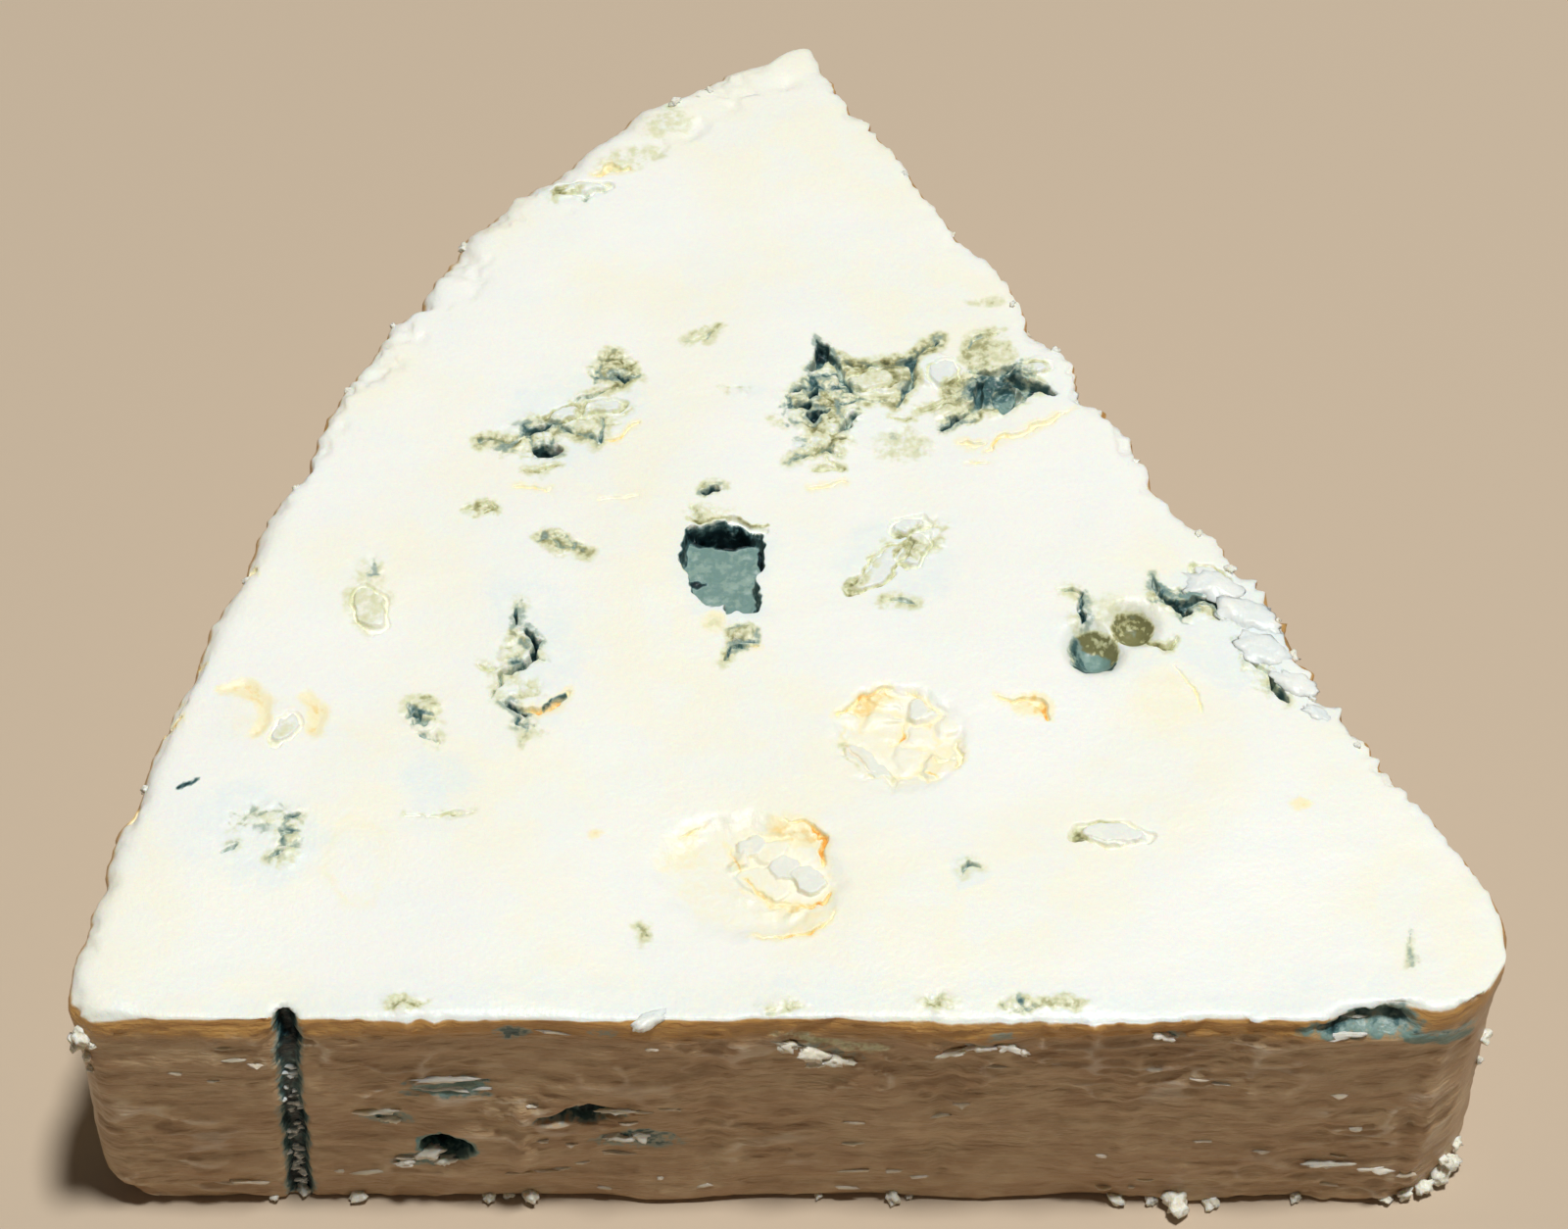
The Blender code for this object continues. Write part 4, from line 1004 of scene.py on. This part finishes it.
FRONT_FLAKES = (
    # along X, up Z, length, height, how far it stands out, turn
    (-24.6, 6.6, 2.2, 0.7, 0.6, 24),
    (-23.6, 5.6, 1.7, 0.5, 0.5, 10),
    (-26.2, 5.6, 1.4, 0.5, 0.4, 16),
    (-11.8, 8.8, 2.0, 0.7, 0.5, 10),
    (-10.2, 9.0, 1.4, 0.5, 0.5, -8),
    (-11.4, 12.5, 2.6, 0.45, 0.4, 4),
    (-27.6, 12.2, 2.8, 0.5, 0.4, 2),
    (-26.9, 10.8, 1.8, 0.4, 0.4, -6),
    (-22.9, 16.4, 5.0, 0.35, 0.35, 1),
    (-22.6, 15.2, 4.6, 0.35, 0.35, 0),
    (-0.2, 20.8, 1.8, 0.8, 0.6, -18),
    (1.4, 20.0, 2.0, 0.9, 0.7, -24),
    (3.2, 19.0, 1.8, 0.8, 0.6, -14),
    (1.8, 18.9, 1.4, 0.6, 0.5, 14),
    (10.8, 20.7, 1.8, 0.6, 0.5, 20),
    (12.4, 21.4, 1.8, 0.6, 0.5, 4),
    (14.2, 21.2, 1.7, 0.6, 0.5, -12),
    (15.2, 20.5, 1.1, 0.5, 0.4, -30),
    (24.4, 22.2, 1.6, 0.5, 0.5, -18),
    (35.9, 22.3, 2.4, 0.25, 0.3, 5),
    (36.6, 22.9, 1.8, 0.22, 0.3, -6),
    (36.6, 5.2, 3.0, 0.4, 0.4, 4),
    (40.0, 4.6, 2.2, 0.4, 0.4, -3),
)

TOP_CRUMBS = (
    # along X, along Y, how far across
    (-8.6, 37.4, 1.0), (-6.0, 38.6, 0.8), (-24.4, 24.2, 0.8), (-37.6, 2.0, 0.7), (-29.6, 17.0, 0.6),
    (-44.6, -24.6, 0.8), (-40.2, -6.4, 0.7), (-33.2, 11.2, 0.6), (16.2, 17.6, 0.7), (21.4, 9.4, 0.8),
    (24.6, 3.4, 0.7), (33.6, -10.6, 1.0), (35.0, -13.4, 0.9), (31.0, -6.4, 0.9), (36.6, -17.2, 0.8),
    (12.0, 24.6, 0.5), (8.6, 30.2, 0.5), (28.6, -3.4, 0.7), (19.4, 13.6, 0.7), (38.4, -21.2, 0.5),
)

SIDE_CRUMBS = (
    # along X, along Y, up Z, how far across
    (-47.0, -43.0, 21.8, 1.2), (-47.6, -42.6, 20.4, 1.3), (-47.2, -43.0, 19.0, 0.9), (-46.8, -43.4, 20.9, 0.8),
    (-47.0, -42.8, 17.2, 0.6), (48.0, -39.5, 15.2, 1.0), (48.0, -39.0, 11.4, 0.7), (47.0, -42.5, 0.9, 1.9),
    (47.6, -41.6, 1.2, 1.7), (46.0, -43.6, 0.8, 1.5), (47.0, -42.2, 2.5, 1.1), (44.4, -44.0, 0.7, 1.3),
    (48.0, -40.4, 2.0, 1.0), (42.6, -44.0, 0.5, 0.8), (26.7, -45.0, 0.7, 2.0), (29.1, -45.0, 0.5, 1.2),
    (25.0, -45.0, 0.4, 0.8), (22.5, -45.0, 0.5, 1.2), (7.1, -45.0, 0.5, 1.2), (8.3, -45.0, 0.3, 0.7),
    (-18.0, -45.0, 0.5, 1.4), (-20.8, -45.0, 0.4, 1.0), (-19.4, -45.0, 0.3, 0.8), (-29.8, -45.0, 0.4, 1.1),
    (-33.6, -45.0, 0.4, 1.1), (-35.6, -45.0, 0.3, 0.8), (2.0, -45.0, 0.3, 0.7), (35.0, -45.0, 0.3, 0.9),
)


def torn_flakes(paste, material):
    """Thin scales of wet curd that stand up from the cuts, where the knife tore them."""
    model = bit_model("torn_flake", 40, 10)
    bits = []
    for x, y, length, width, thickness, turn, fray in TORN_FLAKES:
        place, normal = touch(paste, (x, y, TOP + 5), (0, 0, -1))
        height = max(place.z, TOP - 0.6) if place else TOP - 0.6
        turned = laid_flat(Vector((0.03, -0.06, 1)), turn)
        bits.append(copy_bit(model, (x, y, height), (length, width, thickness), turned, fray, 0.25))
    return join_bits("torn_flakes", bits, model, material)


def front_flakes(paste, material):
    """Paler scraps that the knife lifted round the front cut's holes and left hanging."""
    model = bit_model("front_flake", 32, 10)
    bits = []
    for x, z, length, height, out, turn in FRONT_FLAKES:
        place, normal = touch(paste, (x, LOW[1] - 5, z), (0, 1, 0))
        turned = Euler((math.radians(30), math.radians(-turn), 0)).to_matrix()
        place = (x, place.y - 0.12 * out, z)
        bits.append(copy_bit(model, place, (length, out * 1.5, height), turned, 0.6, 0.5))
    piece = join_bits("front_flakes", bits, model, material)
    # The scraps carry less of the cut's tan and painted shade.
    write_attribute(piece.data, "dragged", np.full(len(piece.data.vertices), 0.48))
    return piece


def dragged_scales(paste, material):
    """Small tan lips that the knife dragged up along the two upright cuts, painted paler than the cut to offset their
    own shade.
    """
    model = bit_model("dragged_scale", 10, 6)
    bits = []
    cuts = (
        (FRONT_ALONG, FRONT_INWARD, np.array((0, LOW[1], 0)), -44, 44, FRONT_NEEDLE, 170),
        (BACK_ALONG, BACK_INWARD, np.array((*WHEEL_MIDDLE, 0)), 12, 99, BACK_NEEDLE, 150),
    )
    for along, inward, corner, first, last, needle, count in cuts:
        for _ in range(count):
            distance = random.uniform(first, last)
            if abs(distance - needle) < 1.7:
                continue
            spot = corner + along * distance - inward * 6
            spot[2] = random.uniform(1.2, TOP - 1.8)
            patchy = noise.noise(Vector(spot) * 0.16)
            near_foot = 0.4 * (spot[2] < 5)
            if random.random() > 0.35 + 1.1 * patchy + near_foot:
                continue
            place, normal = touch(paste, spot, inward)
            if place is None or abs(normal.z) > 0.5 or (place - Vector(corner)).dot(Vector(inward)) > 0.6:
                continue
            length = random.uniform(0.8, 2.2) * random.choice((0.7, 1, 1.5))
            size = (length, random.uniform(0.35, 0.6), random.uniform(0.12, 0.22))
            # The scale's own -Y side looks out of the cut.
            swing = math.atan2(-inward[0], inward[1])
            tilt = Euler((math.radians(random.uniform(16, 50)), math.radians(random.gauss(0, 6)), 0))
            turned = Matrix.Rotation(swing, 3, "Z") @ tilt.to_matrix()
            bits.append(copy_bit(model, place - normal * 0.02, size, turned, 0.5, 0.3))
    piece = join_bits("dragged_scales", bits, model, material)
    # Painted light: the scales carry less of the cut's tan and painted shade, which lightens them against the shade on
    # their undersides.
    write_attribute(piece.data, "dragged", np.full(len(piece.data.vertices), 0.62))
    return piece


def clinging_crumbs(paste, material):
    """Crumbs along the worn edges, at the foot and on the corners."""
    model = bit_model("crumb", 14, 10)
    bits = []
    for x, y, across in TOP_CRUMBS:
        start = Vector((x, y, TOP + 5))
        place, normal = touch(paste, start, (0, 0, -1))
        while place is None or place.z < TOP - 1.2:
            start += Vector((0 - start.x, -14 - start.y, 0)).normalized() * 0.2
            place, normal = touch(paste, start, (0, 0, -1))
        bits.append(crumb_copy(model, place, across))
    for x, y, z, across in SIDE_CRUMBS:
        inwards = (0, 1, 0) if y < -44 else (-x, -14 - y, 0)
        place, normal = touch(paste, (x, y, z), inwards)
        away = Vector(inwards).normalized() * -0.2 * across
        bits.append(crumb_copy(model, place + away, across))
    return join_bits("clinging_crumbs", bits, model, material)


def crumb_copy(model, place, across):
    size = [across * random.uniform(*limits) for limits in ((0.8, 1.15), (0.6, 0.95), (0.55, 0.8))]
    turned = Euler([random.uniform(-0.5, 0.5), random.uniform(-0.5, 0.5), random.uniform(0, 6)]).to_matrix()
    place.z = max(place.z, size[2] * 0.65)
    return copy_bit(model, place, size, turned, 0.3, 0.7)


def needle_granules(paste, material):
    """Pale granules on the floor of the needle channels, where air let the mould grow."""
    model = bit_model("granule", 10, 6)
    bits = []
    for _ in range(46):
        z = random.triangular(0.8, TOP - 4, 2)
        x = -33.9 + 0.05 * z + random.gauss(0, 0.28)
        place, normal = touch(paste, (x, LOW[1] - 5, z), (0, 1, 0))
        place.y -= 0.08
        size = (random.uniform(0.4, 1.0), random.uniform(0.26, 0.42), random.uniform(0.10, 0.18))
        turned = Euler((0.6, random.gauss(0, 0.25), 0)).to_matrix()
        bits.append(copy_bit(model, place, size, turned, 0.5, 0.5))
    return join_bits("needle_granules", bits, model, material)


# Materials.


def linear(code):
    """Linear colour of an sRGB hex value."""
    parts = [int(code[start : start + 2], 16) / 255 for start in (1, 3, 5)]
    return (*(part / 12.92 if part <= 0.04045 else ((part + 0.055) / 1.055) ** 2.4 for part in parts), 1)


def add_node(material, kind, inputs=None, **settings):
    """Adds a shader node with its settings, and sets or links its inputs by name or number."""
    node = material.node_tree.nodes.new(kind)
    for name, value in settings.items():
        setattr(node, name, value)
    for name, value in (inputs or {}).items():
        if isinstance(value, bpy.types.NodeSocket):
            material.node_tree.links.new(value, node.inputs[name])
        else:
            node.inputs[name].default_value = value
    return node


def new_material(name):
    material = bpy.data.materials.new(name)
    material.use_nodes = True
    return material, material.node_tree.nodes["Principled BSDF"]


def unevenness(material, across, detail=2.0, stretch=(1, 1, 1)):
    """Lumps this many millimetres across, as an amount from 0 to 1."""
    place = add_node(material, "ShaderNodeTexCoord").outputs["Object"]
    place = add_node(material, "ShaderNodeMapping", {"Vector": place, "Scale": stretch}).outputs[0]
    inputs = {"Vector": place, "Scale": 1 / (across * MM), "Detail": detail}
    value = add_node(material, "ShaderNodeTexNoise", inputs).outputs[0]
    inputs = {"Value": value, "From Min": 0.34, "From Max": 0.66}
    return add_node(material, "ShaderNodeMapRange", inputs, interpolation_type="SMOOTHSTEP").outputs[0]


def lay_over(material, under, colour, amount, faint, full, most=1.0):
    """Lays a colour over the one below: not at all where the amount is faint, and at most where it is full."""
    inputs = {"Value": amount, "From Min": faint, "From Max": full, "To Max": most}
    share = add_node(material, "ShaderNodeMapRange", inputs, interpolation_type="SMOOTHSTEP").outputs[0]
    return add_node(material, "ShaderNodeMix", {0: share, 6: under, 7: colour}, data_type="RGBA").outputs[2]


def frayed(material, amount, uneven, least, most):
    """A stain made uneven: the amount, times a number from least to most."""
    inputs = {"Value": uneven, "To Min": least, "To Max": most}
    factor = add_node(material, "ShaderNodeMapRange", inputs).outputs[0]
    return add_node(material, "ShaderNodeMath", {0: amount, 1: factor}, operation="MULTIPLY").outputs[0]


STAIN_LAYERS = (
    # stain, how uneven, where it starts and is full, the most it covers, colour
    ("milk", (0.5, 1.4), (0.10, 1.1), 0.65, "#e8f1f1"),
    # painted light shining through the top edge
    ("painted_edge_glow", (0.7, 1.3), (0.05, 0.95), 0.88, "#cb9a54"),
    ("amber", (0.7, 1.3), (0.06, 0.38), 0.85, "#fbf0c6"),
    ("amber", (0.6, 1.4), (0.40, 0.74), 0.85, "#f6d588"),
    ("amber", (0.5, 1.5), (0.75, 1.15), 1.00, "#e0a044"),
    ("curd", (0.5, 1.4), (0.20, 1.00), 0.65, "#e3e9e7"),
    ("olive", (0.4, 1.5), (0.10, 0.46), 0.90, "#dedfba"),
    ("olive", (0.3, 1.6), (0.42, 0.85), 0.90, "#b0af80"),
    ("olive", (0.2, 1.8), (0.85, 1.40), 0.90, "#76744a"),
    ("grey", (0.7, 1.3), (0.30, 0.60), 1.00, "#76958f"),
    ("grey", (0.2, 1.8), (0.80, 1.50), 0.80, "#93aca2"),
    ("mould", (0.3, 1.6), (0.10, 0.34), 0.75, "#8da6a1"),
    ("mould", (0.5, 1.4), (0.32, 0.56), 0.95, "#3f6466"),
    ("mould", (0.6, 1.3), (0.56, 0.86), 1.00, "#0f2b30"),
    ("mould", (0.8, 1.2), (0.90, 1.15), 1.00, "#041317"),
)


def ripe_paste():
    """Ripe cow's milk paste, cut by a knife: waxy ivory, milky near the mould, tan on the upright cuts, partly dragged
    paste and partly painted shade.
    """
    material, shader = new_material("Ripe blue cheese paste, knife cut")
    fine = unevenness(material, 0.42, detail=3.0)
    middling = unevenness(material, 1.2)
    uneven = add_node(material, "ShaderNodeMath", {0: fine, 1: middling}, operation="ADD").outputs[0]
    uneven = add_node(material, "ShaderNodeMath", {0: uneven, 1: 0.5}, operation="MULTIPLY").outputs[0]
    stain = {kind: add_node(material, "ShaderNodeAttribute", attribute_name=kind).outputs["Fac"] for kind in STAINS}

    # Moisture drifts over centimetres, with whiter curds a few millimetres across.
    colour = lay_over(material, linear("#f7f8f1"), linear("#f8f6e6"), unevenness(material, 14), 0.0, 1.0)
    colour = lay_over(material, colour, linear("#f2f7f3"), unevenness(material, 3.6, detail=3.0), 0.3, 1.0, most=0.5)

    # The upright cuts are painted darker and warmer, partly for the knife's dragged paste and partly as painted shade,
    # with paler smears. The rim is a yellower skin.
    smear = unevenness(material, 1.3, detail=3.0, stretch=(0.6, 0.6, 1.0))
    tan = lay_over(material, linear("#ba9b77"), linear("#c8ad89"), smear, 0.2, 1.0)
    tan = lay_over(material, tan, linear("#ad8762"), unevenness(material, 6, stretch=(0.9, 0.9, 1.0)), 0.3, 1.0, most=0.35)
    colour = lay_over(material, colour, tan, stain["dragged"], 0.2, 0.9)
    skin = lay_over(material, linear("#e4d6b2"), linear("#efe7cd"), unevenness(material, 5, detail=4.0), 0.2, 0.9)
    colour = lay_over(material, colour, skin, stain["rind"], 0.25, 0.95)

    for kind, (least, most_uneven), (faint, full), most, code in STAIN_LAYERS:
        amount = frayed(material, stain[kind], uneven, least, most_uneven)
        colour = lay_over(material, colour, linear(code), amount, faint, full, most)
    material.node_tree.links.new(colour, shader.inputs["Base Color"])
    shader.inputs["Roughness"].default_value = 0.42
    shader.inputs["IOR"].default_value = 1.45
    shader.inputs["Subsurface Weight"].default_value = 0.3
    shader.inputs["Subsurface Radius"].default_value = (1.0, 0.55, 0.25)
    shader.inputs["Subsurface Scale"].default_value = 0.0013

    # Fine grain all over, and furrows along the dragged cuts.
    bump = add_node(material, "ShaderNodeBump", {"Height": fine, "Strength": 0.3, "Distance": 0.00005})
    furrow = unevenness(material, 0.7, detail=3.0, stretch=(0.4, 0.4, 1.5))
    furrow = add_node(material, "ShaderNodeMath", {0: furrow, 1: stain["dragged"]}, operation="MULTIPLY").outputs[0]
    inputs = {"Height": furrow, "Strength": 0.6, "Distance": 0.00012, "Normal": bump.outputs[0]}
    bump = add_node(material, "ShaderNodeBump", inputs)
    material.node_tree.links.new(bump.outputs[0], shader.inputs["Normal"])
    return material


def wet_curd():
    """Thin scales of wet curd: bluish white and a little clear, smoother than the cut face."""
    material, shader = new_material("Wet curd, torn")
    cloud = unevenness(material, 1.4, detail=3.0)
    colour = lay_over(material, linear("#edf2ee"), linear("#f8f8f0"), cloud, 0.0, 1.0)
    material.node_tree.links.new(colour, shader.inputs["Base Color"])
    shader.inputs["Roughness"].default_value = 0.38
    shader.inputs["IOR"].default_value = 1.45
    shader.inputs["Subsurface Weight"].default_value = 0.4
    shader.inputs["Subsurface Radius"].default_value = (1.0, 0.7, 0.5)
    shader.inputs["Subsurface Scale"].default_value = 0.001
    bump = add_node(material, "ShaderNodeBump", {"Height": cloud, "Strength": 0.4, "Distance": 0.0002})
    material.node_tree.links.new(bump.outputs[0], shader.inputs["Normal"])
    return material


def broken_paste():
    """Paste that broke instead of being cut: matt, granular and creamy."""
    material, shader = new_material("Blue cheese paste, crumbled")
    grain = unevenness(material, 0.4, detail=4.0)
    colour = lay_over(material, linear("#ece6d2"), linear("#f6f5ea"), grain, 0.0, 1.0)
    material.node_tree.links.new(colour, shader.inputs["Base Color"])
    shader.inputs["Roughness"].default_value = 0.6
    shader.inputs["Subsurface Weight"].default_value = 0.3
    shader.inputs["Subsurface Radius"].default_value = (1.0, 0.6, 0.3)
    shader.inputs["Subsurface Scale"].default_value = 0.001
    bump = add_node(material, "ShaderNodeBump", {"Height": grain, "Strength": 0.6, "Distance": 0.0001})
    material.node_tree.links.new(bump.outputs[0], shader.inputs["Normal"])
    return material


def studio_floor():
    """Matt warm board: pale, so that the wedge's own tones stand out."""
    material, shader = new_material("Matt painted board")
    shader.inputs["Base Color"].default_value = linear("#c6b49e")
    shader.inputs["Roughness"].default_value = 0.9
    bpy.ops.mesh.primitive_plane_add(size=4, location=(0, 0, 0))
    floor = bpy.context.object
    floor.name = "floor"
    floor.data.materials.append(material)


def point_light(name, toward, distance, size, power, colour):
    """A square soft light that shines at the wedge from a direction."""
    direction = Vector(toward).normalized()
    data = bpy.data.lights.new(name, "AREA")
    data.shape = "DISK"
    data.size = size
    data.energy = power
    data.color = linear(colour)[:3]
    lamp = bpy.data.objects.new(name, data)
    bpy.context.scene.collection.objects.link(lamp)
    lamp.location = direction * distance
    lamp.rotation_euler = direction.to_track_quat("Z", "Y").to_euler()


def studio():
    studio_floor()
    point_light("key_light", (0.14, -0.05, 1.0), 1.2, 0.16, 13.5, "#fffffc")
    world = bpy.data.worlds.new("Studio")
    world.use_nodes = True
    world.node_tree.nodes["Background"].inputs["Color"].default_value = linear("#fff4e8")
    world.node_tree.nodes["Background"].inputs["Strength"].default_value = 0.06
    bpy.context.scene.world = world
    bpy.context.scene.view_settings.view_transform = "Standard"
    data = bpy.data.cameras.new("camera")
    data.lens = 104.4
    data.sensor_width = 36
    camera = bpy.data.objects.new("camera", data)
    camera.location = (-0.0004, -0.1950, 0.2784)
    camera.rotation_euler = (math.radians(36), 0, 0)
    bpy.context.scene.collection.objects.link(camera)
    bpy.context.scene.camera = camera


knife_cut = ripe_paste()
paste = cheese_paste(knife_cut)
torn_curd = wet_curd()
torn_flakes(paste, torn_curd)
front_flakes(paste, knife_cut)
dragged_scales(paste, knife_cut)
clinging_crumbs(paste, broken_paste())
needle_granules(paste, torn_curd)
studio()
